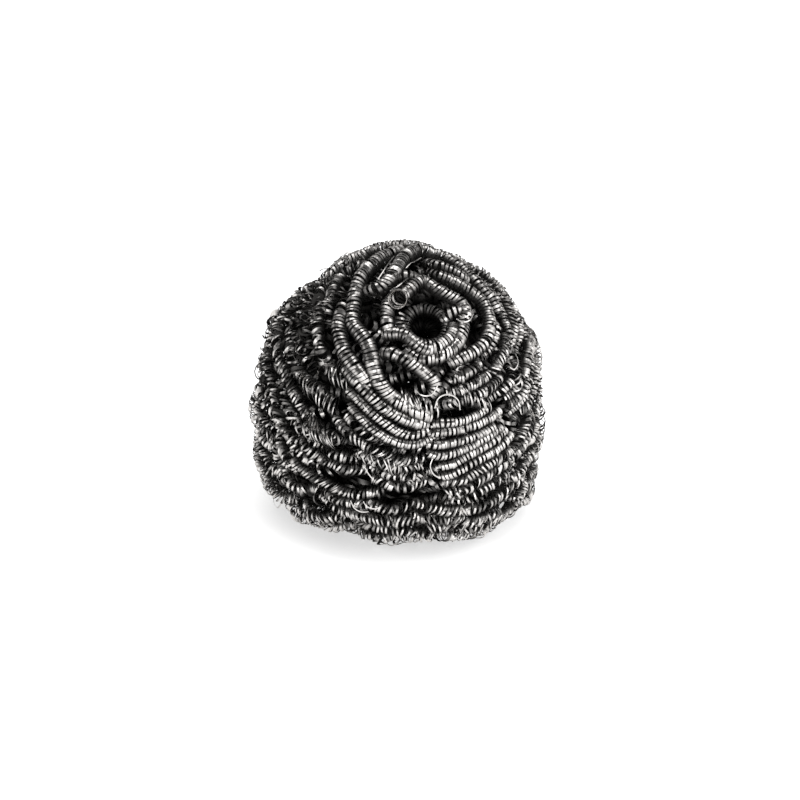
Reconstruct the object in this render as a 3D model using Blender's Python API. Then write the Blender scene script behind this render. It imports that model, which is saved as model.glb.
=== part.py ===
"""A steel wool roll: one springy strand of coiled flat wire, wound like a rose into a ball.

The ball stands on its own flattened base. Its strand loops round a tilted swirl whose open
heart faces the front and a little to the right. The strand is solid here, with its fine wire
turns closed up, and the windings of the outer layer stand out as one deep relief: the crown's
loops are laid by hand along named routes, and evenly spaced windings follow them all round.

Metres, +Z up, the front looks along -Y, and the origin is the middle of the flat base.
"""

import math
from dataclasses import dataclass

import bmesh
import bpy
import numpy as np
from mathutils import Vector

SEED = 41

# The ball, over the crests of its outermost windings
BALL_RADIUS = 0.0391
CROWN_RISE = 0.0442
BASE_DROP = 0.0278
CROWN_POWER = 2.24
BASE_POWER = 4.8

# Broad lumps of the ball: azimuth from the front towards +X, elevation, height and spread
LUMPS = (
    (-125.0, 52.0, -0.0017, 12.0),
    (-156.0, 64.0, 0.0008, 10.0),
    (-88.0, 0.0, 0.0007, 12.0),
    (-49.0, -56.0, -0.0014, 16.0),
    (64.0, -44.0, 0.0024, 10.0),
    (85.0, -16.0, -0.0006, 8.0),
    (92.0, 12.0, -0.0008, 8.0),
    (103.0, 28.0, 0.0009, 12.0),
)

# The strand and how it is wound
STRAND_RADIUS = 0.0016
WINDING_SPACING = 0.0031
WINDING_CLOSEST = 0.0023
WINDING_SHORTEST = 0.012
WINDING_LONGEST = 0.120
SHORTEST_SHARE = 0.3
TUCK_LENGTH = 0.006
TUCK_DEPTH = 0.0026
VALLEY_DEPTH = 0.0030
BASE_FLAT = 0.0008

# How a winding rises and falls along its way, and how far over or under the others it lies
UNEVENNESS = 0.0005
SWELL_SHORTEST = 0.014
SWELL_LONGEST = 0.026
SWELL_LEVELS = (-0.6, 1.2)

# The open heart of the swirl, down between the crown's inner loops
HEART_RADIUS = 0.0074
HEART_DEPTH = 0.0125
HEART_FLARE = 0.0018
HEART_TURNS = 1.9
HEART_TURN_INSET = 0.0034
HEART_POINTS = 90

# The strand's free end, a hollow tube that looks out of the crown
END_RADIUS = 0.0026
END_WALL = 0.0007
END_BORE_DEPTH = 0.0050
END_PROUD = 0.0016
END_BURIED = 0.0060
END_SIDES = 20

# The sketch of the crown's loops is drawn square to this line of sight. The ball's radius
# measures 39.1 units on it, so one unit is a millimetre at the ball's present size.
SIGHT_ELEVATION = 24.0
SIGHT_DISTANCE = 0.600
SIGHT_HEIGHT = 0.030
SIGHT_SAMPLES = 400
SKETCH_UNITS = 39.1
SKETCH_UNIT = BALL_RADIUS / SKETCH_UNITS

# Where the windings turn about the swirl, and where they lie level instead
LEVEL_BELOW = 0.006
SWIRL_ABOVE = 0.026
SWIRL_SKETCH = (7.6, 21.6, 0.0)
END_SKETCH = (-0.4, 26.2, 0.0)

# Hand-laid loops on the sketch: across, up, and how far the strand stands proud
CROWN_LOOPS = {
    "top_edge": (
        (-18.5, 32.2, 0.0), (-15.0, 35.0, 0.3), (-12.0, 36.8, 0.4), (-9.0, 38.2, 0.4), (-6.0, 39.4, 0.6),
        (-3.0, 40.0, 0.5), (1.0, 40.2, 0.4), (5.0, 39.9, 0.0), (8.5, 39.2, -0.6),
    ),
    "second_edge": (
        (1.6, 38.9, -1.0), (-1.6, 38.4, 0.2), (-4.4, 37.2, 0.6), (-6.8, 35.6, 0.8), (-8.8, 33.8, 0.9),
        (-10.1, 31.8, 0.9), (-11.1, 29.6, 0.8), (-11.7, 27.3, 0.7), (-12.1, 24.8, 0.5), (-12.3, 22.3, 0.3),
        (-12.4, 19.7, 0.4), (-10.6, 17.2, 0.7), (-8.7, 14.7, 0.9), (-7.5, 11.6, 1.0), (-7.0, 8.5, 1.0),
        (-6.0, 5.4, 0.9), (-4.3, 2.5, 0.8), (-1.6, -0.1, 0.6), (1.6, -2.3, 0.3), (4.8, -4.1, 0.0),
        (8.0, -5.2, -0.7),
    ),
    "over_the_crown": (
        (-9.6, 27.2, -1.6), (-7.8, 28.3, 0.2), (-5.6, 28.8, 0.8), (-3.8, 29.9, 1.0), (-2.3, 31.6, 1.1),
        (-0.9, 33.7, 1.2), (0.4, 35.8, 1.3), (1.8, 37.6, 1.4), (3.5, 38.8, 1.5), (5.6, 39.3, 1.5),
        (7.5, 38.8, 1.3), (9.0, 38.1, 1.0), (11.0, 37.6, 0.9), (13.0, 36.7, 0.8), (15.8, 34.9, 0.6),
        (18.3, 32.9, 0.4), (20.1, 31.0, 0.3), (22.0, 28.6, 0.2), (24.4, 25.6, 0.0), (26.0, 22.6, -0.4),
    ),
    "crown_tuck": (
        (-1.8, 30.9, -0.8), (0.2, 32.2, 0.2), (2.2, 32.2, 0.2), (4.2, 31.6, -0.8),
    ),
    "free_end": (
        (2.6, 28.2, 1.6), (4.2, 30.0, 1.7), (6.0, 31.0, 1.6), (7.8, 30.3, 1.3), (9.7, 28.9, 1.2),
        (11.7, 27.8, 1.1), (13.7, 26.8, 1.0), (15.6, 25.7, 0.9), (17.2, 24.2, 0.8), (17.9, 22.3, 0.6),
        (17.6, 20.2, 0.0),
    ),
    "right_shoulder": (
        (8.0, 33.0, -1.2), (10.5, 32.2, -0.1), (13.4, 31.2, 0.3), (16.4, 29.8, 0.5), (19.3, 27.9, 0.6),
        (21.7, 25.9, 0.6), (23.3, 23.6, 0.6), (24.1, 20.8, 0.5), (24.0, 17.6, 0.4), (22.8, 14.6, 0.4),
        (20.6, 12.4, 0.4), (18.0, 11.0, 0.3), (15.2, 9.8, 0.0), (12.6, 8.9, -0.8),
    ),
    "upper_right": (
        (7.4, 35.6, -0.9), (9.8, 35.0, 0.2), (12.2, 34.2, 0.4), (14.4, 33.4, 0.4), (16.6, 32.0, 0.2),
        (18.8, 30.2, -0.6),
    ),
    "heart_loop": (
        (-4.6, 16.4, -0.6), (-2.4, 16.9, 0.2), (-0.3, 16.9, 0.5), (1.8, 16.4, 0.8), (3.3, 15.1, 0.9),
        (4.8, 13.8, 0.9), (6.3, 12.8, 0.9), (8.0, 12.4, 0.9), (9.8, 12.9, 0.8), (11.3, 13.9, 0.6),
        (12.9, 15.2, 0.3), (14.2, 17.0, -0.3), (14.6, 19.2, -1.4),
    ),
    "outer_loop": (
        (1.4, 12.6, -1.2), (3.5, 10.9, 0.0), (6.0, 10.0, 0.3), (8.5, 10.0, 0.5), (11.0, 10.7, 0.6),
        (13.3, 11.9, 0.7), (15.2, 13.7, 0.7), (16.6, 16.0, 0.5), (17.2, 18.6, 0.2), (16.8, 21.0, -0.8),
    ),
    "heart_left": (
        (-3.0, 25.2, -0.8), (-3.1, 23.2, 0.4), (-3.2, 21.3, 0.6), (-3.2, 19.4, 0.4), (-2.6, 17.4, -0.9),
    ),
    "heart_right": (
        (12.2, 20.6, -2.0), (13.0, 21.7, -0.9), (14.2, 22.5, -0.3), (15.7, 23.2, 0.0), (17.2, 23.5, -0.9),
    ),
    "lower_loop": (
        (-4.2, 11.6, -1.0), (-1.9, 11.6, 0.2), (0.8, 10.5, 0.5), (3.1, 9.1, 0.7), (5.2, 7.7, 0.8),
        (6.9, 6.3, 0.8), (8.5, 5.1, 0.6), (9.6, 3.4, 0.3), (9.4, 1.5, -0.2), (7.8, 0.3, -1.0),
    ),
    "left_pair": (
        (-14.4, 24.6, -1.2), (-15.2, 22.6, 0.2), (-15.8, 20.5, 0.6), (-16.1, 18.3, 0.8), (-15.7, 16.0, 0.8),
        (-15.1, 13.6, 0.8), (-14.1, 11.3, 0.8), (-12.7, 9.2, 0.8), (-11.1, 7.3, 0.7), (-9.4, 5.4, 0.4),
        (-8.0, 3.4, -0.8),
    ),
    "side_fall": (
        (-15.2, 9.6, -1.0), (-13.9, 7.4, 0.2), (-12.3, 5.3, 0.4), (-10.4, 3.3, 0.5), (-8.6, 1.4, 0.5),
        (-6.6, -0.6, 0.5), (-4.2, -2.6, 0.5), (-1.6, -4.4, 0.4), (1.3, -5.9, 0.3), (4.3, -6.9, 0.0),
        (7.0, -7.3, -0.8),
    ),
    "necklace": (
        (-13.7, 2.0, -0.6), (-11.5, -0.2, 0.3), (-9.2, -2.3, 0.5), (-7.0, -4.5, 0.6), (-4.8, -6.3, 0.7),
        (-2.6, -7.8, 0.7), (0.0, -9.4, 0.6), (2.8, -10.2, 0.5), (5.6, -9.8, 0.3), (8.2, -8.6, -0.7),
    ),
    "under_necklace": (
        (-13.0, -2.2, -0.8), (-10.8, -4.8, 0.1), (-8.4, -7.1, 0.3), (-6.0, -9.2, 0.5), (-3.4, -10.9, 0.5),
        (-0.8, -12.0, 0.5), (1.6, -12.6, 0.5), (4.2, -12.7, 0.4), (6.8, -11.8, -0.2), (8.8, -10.9, -1.0),
    ),
    "right_row_one": (
        (8.6, -7.2, -0.6), (11.0, -7.1, 0.3), (13.5, -7.0, 0.5), (16.0, -6.7, 0.5), (18.3, -6.0, 0.4),
        (20.8, -4.8, 0.2), (23.2, -3.2, 0.0),
    ),
    "right_row_two": (
        (8.4, -9.8, -0.3), (11.0, -9.6, 0.4), (13.5, -9.2, 0.5), (16.0, -8.8, 0.5), (18.5, -8.1, 0.5),
        (21.2, -7.2, 0.3), (24.0, -5.8, 0.1), (26.6, -3.8, -0.1),
    ),
    "right_row_three": (
        (7.4, -12.4, -0.6), (10.0, -12.8, 0.3), (12.5, -12.6, 0.4), (15.0, -12.1, 0.4), (17.5, -11.5, 0.4),
        (20.0, -10.6, 0.3), (22.6, -9.4, 0.3), (25.2, -7.8, 0.1),
    ),
    "right_row_four": (
        (7.4, -14.8, -0.8), (10.0, -15.7, 0.1), (12.5, -15.6, 0.3), (15.0, -14.9, 0.4), (17.4, -13.9, 0.4),
        (19.8, -12.7, 0.3), (22.2, -11.5, 0.3), (24.6, -10.1, 0.3), (27.0, -8.2, 0.0),
    ),
    "right_row_five": (
        (10.6, -18.5, -0.4), (13.0, -18.3, 0.4), (15.3, -17.4, 0.6), (17.2, -16.4, 0.6), (19.3, -15.2, 0.6),
        (21.5, -14.0, 0.5), (23.8, -12.6, 0.5), (26.0, -11.0, 0.4), (28.2, -8.8, 0.1),
    ),
    "right_row_six": (
        (11.2, -21.2, -0.8), (14.0, -20.7, 0.3), (16.4, -19.5, 0.4), (18.8, -18.1, 0.5), (21.2, -16.8, 0.5),
        (23.6, -15.5, 0.4), (26.0, -14.0, 0.3), (28.2, -12.2, 0.2), (30.0, -9.8, -0.1),
    ),
}

# A short stretch through the middle of the base, in sketch units on the floor
BASE_HEART = ((-7.0, -2.6), (-4.6, -0.4), (-2.2, 0.7), (0.0, 0.0), (2.2, -0.7), (4.6, 0.4), (7.0, 2.6))
BASE_HEART_CLEAR = 3.0 * STRAND_RADIUS

# How the flow of the windings wanders, and how strongly the hand-laid loops steer it
SWING_DEGREES = 17.0
SWING_WAVES = 5
SWING_WAVELENGTH = 0.055
SWING_GAIN = 1.6
FLOW_PULL = 0.5
GUIDE_REACH = 0.0042
GUIDE_STRIDE = 3

# How a new winding finds room: where it may start, and how much of its own trail it ignores
SEED_STRIDE = 0.003
SEED_ROOM = 0.96
TRAIL_IGNORED = 0.008
CELL_SHARE = 1.3

# How finely the relief is worked, and how many facets it keeps
ROUTE_STEP = 0.0007
ROUTE_SAMPLES = 12
WINDING_STEP = 0.0008
SPHERE_LEVEL = 7
SOFTENING_PASSES = 1
SOFTENING = 0.35
FACETS_KEPT = 0.135
RELIEF_BATCH = 1024
CUTTER_WIDTH = 3.0 * BALL_RADIUS
CUTTER_DEPTH = 0.010

STEEL_COLOUR = (0.36, 0.355, 0.35, 1.0)
STEEL_ROUGHNESS = 0.32

BALL_CENTRE = np.array((0.0, 0.0, BASE_DROP - BASE_FLAT))


@dataclass
class Winding:
    """A stretch of strand: points on the resting surface, and how deep each lies below it."""

    points: np.ndarray
    depth: np.ndarray


def unit(vectors):
    """The same vectors, each one long."""
    return vectors / np.linalg.norm(vectors, axis=-1, keepdims=True)


def direction_at(azimuth, elevation):
    """A direction from the ball's centre, azimuth counted from the front towards +X."""
    around = math.radians(azimuth)
    up = math.radians(elevation)
    return np.array((math.sin(around) * math.cos(up), -math.cos(around) * math.cos(up), math.sin(up)))


def smoothstep(value):
    """An S-shaped ramp from 0 to 1."""
    clipped = np.clip(value, 0.0, 1.0)
    return clipped * clipped * (3.0 - 2.0 * clipped)


def envelope(directions):
    """Distance from the ball's centre to the crests, along each direction."""
    level = np.hypot(directions[:, 0], directions[:, 1]) / BALL_RADIUS
    up = directions[:, 2]
    rise = np.where(up > 0.0, CROWN_RISE, BASE_DROP)
    power = np.where(up > 0.0, CROWN_POWER, BASE_POWER)
    reach = (level**power + np.abs(up / rise) ** power) ** (-1.0 / power)
    for azimuth, elevation, height, spread in LUMPS:
        nearness = directions @ direction_at(azimuth, elevation)
        turn = np.degrees(np.arccos(np.clip(nearness, -1.0, 1.0)))
        reach = reach + height * np.exp(-0.5 * (turn / spread) ** 2)
    return reach


def settle(points):
    """Bring points onto the resting surface, where a strand's middle lies in the outer layer."""
    directions = unit(points - BALL_CENTRE)
    return BALL_CENTRE + directions * (envelope(directions) - STRAND_RADIUS)[:, None]


def outward(points):
    """The ball's outward normals at points, lumps aside."""
    offset = points - BALL_CENTRE
    up = offset[:, 2]
    rise = np.where(up > 0.0, CROWN_RISE, BASE_DROP)
    power = np.where(up > 0.0, CROWN_POWER, BASE_POWER)
    level = np.hypot(offset[:, 0], offset[:, 1]) + 1e-9
    sideways = (level / BALL_RADIUS) ** (power - 1.0) / BALL_RADIUS
    upward = np.sign(up) * np.abs(up / rise) ** (power - 1.0) / rise
    normals = np.stack((offset[:, 0] / level * sideways, offset[:, 1] / level * sideways, upward), axis=1)
    return unit(normals)


def sight_frame():
    """The eye's place and the sketch's right and up directions."""
    tilt = math.radians(SIGHT_ELEVATION)
    aim = np.array((0.0, 0.0, SIGHT_HEIGHT))
    eye = aim + SIGHT_DISTANCE * np.array((0.0, -math.cos(tilt), math.sin(tilt)))
    return eye, aim, np.array((1.0, 0.0, 0.0)), np.array((0.0, math.sin(tilt), math.cos(tilt)))


def lay_from_eye(sketch_points):
    """Carry sketch points (across, up, proud) along the line of sight, then onto the resting surface."""
    eye, aim, right, up = sight_frame()
    sketch = np.asarray(sketch_points) * SKETCH_UNIT
    targets = aim + sketch[:, :1] * right + sketch[:, 1:2] * up
    nearest = SIGHT_DISTANCE - 2.0 * BALL_RADIUS
    travel = np.linspace(nearest, SIGHT_DISTANCE + BALL_RADIUS, SIGHT_SAMPLES)
    laid = []
    for ray, proud in zip(unit(targets - eye), sketch[:, 2]):
        line = eye + travel[:, None] * ray
        resting = np.linalg.norm(settle(line) - BALL_CENTRE, axis=1)
        clearance = np.linalg.norm(line - BALL_CENTRE, axis=1) - resting - proud
        inside = np.nonzero(clearance <= 0.0)[0]
        if len(inside):
            last = inside[0]
            share = clearance[last - 1] / (clearance[last - 1] - clearance[last])
            laid.append(line[last - 1] + share * (line[last] - line[last - 1]))
        else:
            laid.append(line[np.argmin(clearance)])
    return settle(np.array(laid))


def smooth_route(points, spacing):
    """A Catmull-Rom curve through points (any number of columns), with evenly spaced points."""
    padded = np.vstack((2 * points[0] - points[1], points, 2 * points[-1] - points[-2]))
    pieces = []
    for before, start, end, after in zip(padded, padded[1:], padded[2:], padded[3:]):
        share = np.linspace(0.0, 1.0, ROUTE_SAMPLES, endpoint=False)[:, None]
        pieces.append(
            0.5
            * (
                2 * start
                + (end - before) * share
                + (2 * before - 5 * start + 4 * end - after) * share**2
                + (3 * start - before - 3 * end + after) * share**3
            )
        )
    curve = np.vstack(pieces + [points[-1:]])
    travelled = np.concatenate(((0.0,), np.cumsum(np.linalg.norm(np.diff(curve[:, :3], axis=0), axis=1))))
    stops = np.linspace(0.0, travelled[-1], max(3, int(travelled[-1] / spacing) + 1))
    return np.stack([np.interp(stops, travelled, curve[:, axis]) for axis in range(curve.shape[1])], axis=1)


def swirl_axis():
    """The direction from the ball's centre out through the open heart."""
    return unit(lay_from_eye([SWIRL_SKETCH])[0] - BALL_CENTRE)


def heart_winding():
    """The strand's inner turns, which spiral down the wall of the open heart."""
    axis = swirl_axis()
    side = unit(np.cross(axis, np.array((0.0, 1.0, 0.0))))
    other = np.cross(axis, side)
    share = np.linspace(0.0, 1.0, HEART_POINTS)[:, None]
    angle = share * HEART_TURNS * 2.0 * math.pi
    radius = HEART_RADIUS - share * HEART_TURN_INSET
    reach = np.linalg.norm(settle(BALL_CENTRE + axis[None]) - BALL_CENTRE)
    points = BALL_CENTRE + axis * reach + radius * (np.cos(angle) * side + np.sin(angle) * other)
    depth = STRAND_RADIUS + share[:, 0] * (HEART_DEPTH - 3.0 * STRAND_RADIUS)
    return Winding(settle(points), depth)


def hand_laid_windings():
    """The crown's loops and the base's middle, as the routes at the top give them."""
    windings = []
    for route in CROWN_LOOPS.values():
        sketch = np.array(route)
        proud = sketch[:, 2:3] * SKETCH_UNIT
        curve = smooth_route(np.hstack((lay_from_eye(sketch), proud)), ROUTE_STEP)
        windings.append(Winding(settle(curve[:, :3]), -curve[:, 3]))
    floor = np.array([(x * SKETCH_UNIT, y * SKETCH_UNIT, 0.0) for x, y in BASE_HEART])
    curve = smooth_route(floor, ROUTE_STEP)
    windings.append(Winding(settle(curve), np.zeros(len(curve))))
    windings.append(heart_winding())
    return windings


class Crowd:
    """Points already wound, kept in cubic cells so that near ones are found fast."""

    def __init__(self, cell):
        self.cell = cell
        self.cells = {}

    def key(self, point):
        """The cell that a point falls in."""
        return tuple(int(math.floor(value / self.cell)) for value in point)

    def add(self, points):
        """Put more points in."""
        for point in points:
            self.cells.setdefault(self.key(point), []).append(tuple(point))

    def is_near(self, point, gap):
        """Whether any point lies within gap; gap is no more than a cell."""
        x, y, z = point
        across, along, up = self.key(point)
        for i in (across - 1, across, across + 1):
            for j in (along - 1, along, along + 1):
                for k in (up - 1, up, up + 1):
                    for px, py, pz in self.cells.get((i, j, k), ()):
                        if (px - x) ** 2 + (py - y) ** 2 + (pz - z) ** 2 < gap * gap:
                            return True
        return False


class TwoCrowds:
    """A settled crowd and a trial one on top, which may be thrown away."""

    def __init__(self, settled):
        self.settled = settled
        self.trial = Crowd(settled.cell)

    def add(self, points):
        """Put points in the trial crowd only."""
        self.trial.add(points)

    def is_near(self, point, gap):
        """Whether either crowd has a point within gap."""
        return self.settled.is_near(point, gap) or self.trial.is_near(point, gap)


class Flow:
    """Which way the strand runs at each place of the ball."""

    def __init__(self, guides, rng):
        self.swirl = swirl_axis()
        self.waves = rng.normal(size=(SWING_WAVES, 3)) * 2.0 * math.pi / SWING_WAVELENGTH
        self.phases = rng.uniform(0.0, 2.0 * math.pi, SWING_WAVES)
        self.guide_points = np.vstack([guide.points[::GUIDE_STRIDE] for guide in guides])
        headings = np.vstack([np.gradient(guide.points, axis=0)[::GUIDE_STRIDE] for guide in guides])
        same_way = np.sign(np.sum(headings * self.about_the_swirl(self.guide_points), axis=1))
        self.guide_headings = unit(headings) * same_way[:, None]

    def about_the_swirl(self, points):
        """Headings that circle the swirl on the crown and lie level on the base."""
        share = smoothstep((points[:, 2:3] - LEVEL_BELOW) / (SWIRL_ABOVE - LEVEL_BELOW))
        axis = unit(share * self.swirl + (1.0 - share) * np.array((0.0, 0.0, 1.0)))
        return unit(np.cross(axis, outward(points)) + 1e-9)

    def wander(self, points):
        """A smooth swing of the heading, from about -1 to 1."""
        return np.sin(points @ self.waves.T + self.phases).mean(axis=1) * SWING_GAIN

    def heading(self, point):
        """The strand's heading at one point."""
        here = point[None]
        normal = outward(here)[0]
        level = self.about_the_swirl(here)[0]
        swing = math.radians(SWING_DEGREES) * self.wander(here)[0]
        level = level * math.cos(swing) + np.cross(normal, level) * math.sin(swing)
        apart = np.sum((self.guide_points - point) ** 2, axis=1)
        weight = np.exp(-0.5 * apart / GUIDE_REACH**2)
        blended = FLOW_PULL * level + weight @ self.guide_headings
        blended -= normal * (blended @ normal)
        return blended / np.linalg.norm(blended)


class Winder:
    """Fills the ball's outer layer with evenly spaced windings."""

    def __init__(self, windings, flow, rng):
        self.windings = windings
        self.flow = flow
        self.rng = rng
        self.crowd = Crowd(WINDING_SPACING * CELL_SHARE)
        for winding in windings:
            self.crowd.add(winding.points)

    def in_the_open(self, point):
        """Whether a point keeps clear of the open heart and of the base's middle."""
        offset = point - BALL_CENTRE
        along = offset @ self.flow.swirl
        from_heart = math.sqrt(max(offset @ offset - along * along, 0.0))
        if along > 0.0 and from_heart < HEART_RADIUS + STRAND_RADIUS:
            return False
        return point[2] > BASE_DROP / 2 or math.hypot(point[0], point[1]) > BASE_HEART_CLEAR

    def grow(self, crowd, start, way, longest):
        """Walk from start along the flow until the crowd or the open heart blocks the way."""
        walked = []
        point = start
        ignored = int(TRAIL_IGNORED / WINDING_STEP)
        while len(walked) * WINDING_STEP < longest:
            middle = point + self.flow.heading(point) * way * WINDING_STEP / 2
            heading = self.flow.heading(middle)
            point = settle((point + heading * way * WINDING_STEP)[None])[0]
            if crowd.is_near(point, WINDING_CLOSEST) or not self.in_the_open(point):
                break
            walked.append(point)
            if len(walked) > ignored:
                crowd.add([walked[-ignored - 1]])
        crowd.add(walked[-ignored:])
        return walked

    def wind_from(self, seed):
        """One winding through a seed point, if it can be long enough to be worth it."""
        longest = self.rng.uniform(SHORTEST_SHARE, 1.0) * WINDING_LONGEST
        crowd = TwoCrowds(self.crowd)
        ahead = self.grow(crowd, seed, 1.0, longest / 2)
        behind = self.grow(crowd, seed, -1.0, longest / 2)
        points = np.array(behind[::-1] + [seed] + ahead)
        if len(points) * WINDING_STEP < WINDING_SHORTEST:
            return None
        self.crowd.add(points)
        return self.tucked(points)

    def tucked(self, points):
        """A winding whose two ends dive under its neighbours, and which rises and falls a little."""
        from_end = np.minimum(np.arange(len(points)), np.arange(len(points))[::-1]) * WINDING_STEP
        depth = TUCK_DEPTH * (1.0 - smoothstep(from_end / TUCK_LENGTH))
        phase = self.rng.uniform(0.0, 2.0 * math.pi)
        length = self.rng.uniform(SWELL_SHORTEST, SWELL_LONGEST)
        travelled = np.arange(len(points)) * WINDING_STEP
        swell = self.rng.uniform(*SWELL_LEVELS) + np.sin(phase + travelled * 2.0 * math.pi / length)
        return Winding(points, depth + UNEVENNESS * swell)

    def fill(self):
        """Wind beside what is there, on both sides, until no room is left."""
        waiting = list(self.windings)
        while waiting:
            beside = waiting.pop(0)
            headings = unit(np.gradient(beside.points, axis=0))
            sideways = np.cross(headings, outward(beside.points))
            stride = max(1, int(SEED_STRIDE / WINDING_STEP))
            for way in (1.0, -1.0):
                seeds = settle(beside.points[::stride] + sideways[::stride] * way * WINDING_SPACING)
                for seed in seeds:
                    if self.crowd.is_near(seed, SEED_ROOM * WINDING_SPACING) or not self.in_the_open(seed):
                        continue
                    winding = self.wind_from(seed)
                    if winding is not None:
                        self.windings.append(winding)
                        waiting.append(winding)
        return self.windings


def strand_middle(winding):
    """The strand's own centre line, kept up where it rests on the base."""
    directions = unit(winding.points - BALL_CENTRE)
    line = winding.points - directions * winding.depth[:, None]
    line[:, 2] = np.maximum(line[:, 2], STRAND_RADIUS - BASE_FLAT)
    return line


def valley_floor(directions, swirl):
    """How far out the closed-up wire reaches between windings, and down in the heart."""
    floor = envelope(directions) - VALLEY_DEPTH
    along = np.clip(directions @ swirl, -1.0, 1.0)
    from_heart = envelope(directions) * np.sqrt(1.0 - along**2)
    inside = smoothstep((HEART_RADIUS + HEART_FLARE - from_heart) / (2.0 * HEART_FLARE))
    return floor - np.where(along > 0.0, inside, 0.0) * (HEART_DEPTH - VALLEY_DEPTH)


def relief_reach(directions, windings, swirl):
    """Distance from the centre to the outermost strand over each direction."""
    reach = valley_floor(directions, swirl)
    middles = np.vstack([strand_middle(winding) for winding in windings]) - BALL_CENTRE
    squares = np.sum(middles**2, axis=1)
    for first in range(0, len(directions), RELIEF_BATCH):
        batch = slice(first, first + RELIEF_BATCH)
        along = directions[batch] @ middles.T
        room = STRAND_RADIUS**2 - squares + along**2
        hit = np.where((room > 0.0) & (along > 0.0), along + np.sqrt(np.maximum(room, 0.0)), 0.0)
        reach[batch] = np.maximum(reach[batch], hit.max(axis=1))
    return reach


def steel():
    """Bright drawn steel, greyed by the shadow between its turns."""
    material = bpy.data.materials.new("drawn_steel")
    material.use_nodes = True
    shader = material.node_tree.nodes["Principled BSDF"]
    shader.inputs["Base Color"].default_value = STEEL_COLOUR
    shader.inputs["Metallic"].default_value = 1.0
    shader.inputs["Roughness"].default_value = STEEL_ROUGHNESS
    return material


def new_object(name, sheet, collection):
    """A named object around a bmesh, which is freed."""
    mesh = bpy.data.meshes.new(name)
    sheet.to_mesh(mesh)
    sheet.free()
    made = bpy.data.objects.new(name, mesh)
    collection.objects.link(made)
    return made


def rod(name, collection, middle, axis, radius, length):
    """A closed cylinder about an axis."""
    sheet = bmesh.new()
    bmesh.ops.create_cone(
        sheet, cap_ends=True, segments=END_SIDES, radius1=radius, radius2=radius, depth=length
    )
    made = new_object(name, sheet, collection)
    made.rotation_mode = "QUATERNION"
    made.rotation_quaternion = Vector(axis).to_track_quat("Z", "Y")
    made.location = Vector(middle)
    return made


def as_cutter(made):
    """Mark an object as a tool that isn't part of the roll."""
    made.hide_render = True
    made.display_type = "WIRE"
    return made


def add_boolean(made, operation, other):
    """A live Boolean with another object."""
    modifier = made.modifiers.new(other.name, "BOOLEAN")
    modifier.operation = operation
    modifier.object = other
    modifier.solver = "EXACT"


def wound_ball(collection):
    """The ball as one relief: a sphere whose every point is drawn out to the strand over it."""
    rng = np.random.default_rng(SEED)
    laid = hand_laid_windings()
    flow = Flow(laid, rng)
    windings = Winder(laid, flow, rng).fill()
    sheet = bmesh.new()
    bmesh.ops.create_icosphere(sheet, subdivisions=SPHERE_LEVEL, radius=1.0)
    directions = unit(np.array([vertex.co for vertex in sheet.verts]))
    reach = relief_reach(directions, windings, flow.swirl)
    places = BALL_CENTRE + directions * reach[:, None]
    for vertex, place in zip(sheet.verts, places):
        vertex.co = place
    for _ in range(SOFTENING_PASSES):
        bmesh.ops.smooth_vert(
            sheet, verts=sheet.verts, factor=SOFTENING, use_axis_x=True, use_axis_y=True, use_axis_z=True
        )
    ball = new_object("coiled_strand", sheet, collection)
    decimate = ball.modifiers.new("facets", "DECIMATE")
    decimate.ratio = FACETS_KEPT
    return ball


def add_flat_base(ball, cutters):
    """Cut the lowest windings level, so that the roll has a flat spot to stand on."""
    sheet = bmesh.new()
    bmesh.ops.create_cube(sheet, size=1.0)
    bmesh.ops.scale(sheet, vec=(CUTTER_WIDTH, CUTTER_WIDTH, CUTTER_DEPTH), verts=sheet.verts)
    cutter = as_cutter(new_object("floor_cutter", sheet, cutters))
    cutter.location.z = -CUTTER_DEPTH / 2
    add_boolean(ball, "DIFFERENCE", cutter)


def add_free_end(ball, cutters):
    """Join the strand's hollow end to the ball and open its mouth."""
    eye, _, _, _ = sight_frame()
    seat = lay_from_eye([END_SKETCH])[0]
    outwards = unit(eye - seat)
    length = END_PROUD + END_BURIED
    middle = seat + outwards * (END_PROUD - length / 2)
    tube = as_cutter(rod("free_end", cutters, middle, outwards, END_RADIUS, length))
    bore_length = 2.0 * END_BORE_DEPTH
    mouth = seat + outwards * END_PROUD
    bore = as_cutter(rod("mouth_cutter", cutters, mouth, outwards, END_RADIUS - END_WALL, bore_length))
    add_boolean(ball, "UNION", tube)
    add_boolean(ball, "DIFFERENCE", bore)


def build():
    """Clear the scene and build the roll."""
    for leftover in list(bpy.data.objects):
        bpy.data.objects.remove(leftover)
    scene = bpy.context.scene
    roll = bpy.data.collections.new("steel_wool_roll")
    cutters = bpy.data.collections.new("cutters")
    scene.collection.children.link(roll)
    scene.collection.children.link(cutters)
    ball = wound_ball(roll)
    ball.data.materials.append(steel())
    ball.data.shade_smooth()
    add_flat_base(ball, cutters)
    add_free_end(ball, cutters)
    return ball


build()
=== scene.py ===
"""Looks of the steel wool roll: every turn of its coiled flat wire, in bright drawn steel.

The ball is one long strand, and the strand is itself a spring of flat wire. The strand's route
repeats the solid's: the crown's loops are laid along named routes, and evenly spaced
windings fill the rest of the outer layer. Under them lie looser layers, seen through the gaps.
"""

import logging
import math
from dataclasses import dataclass, field
from enum import Enum
from typing import Iterable, Optional, Sequence

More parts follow.
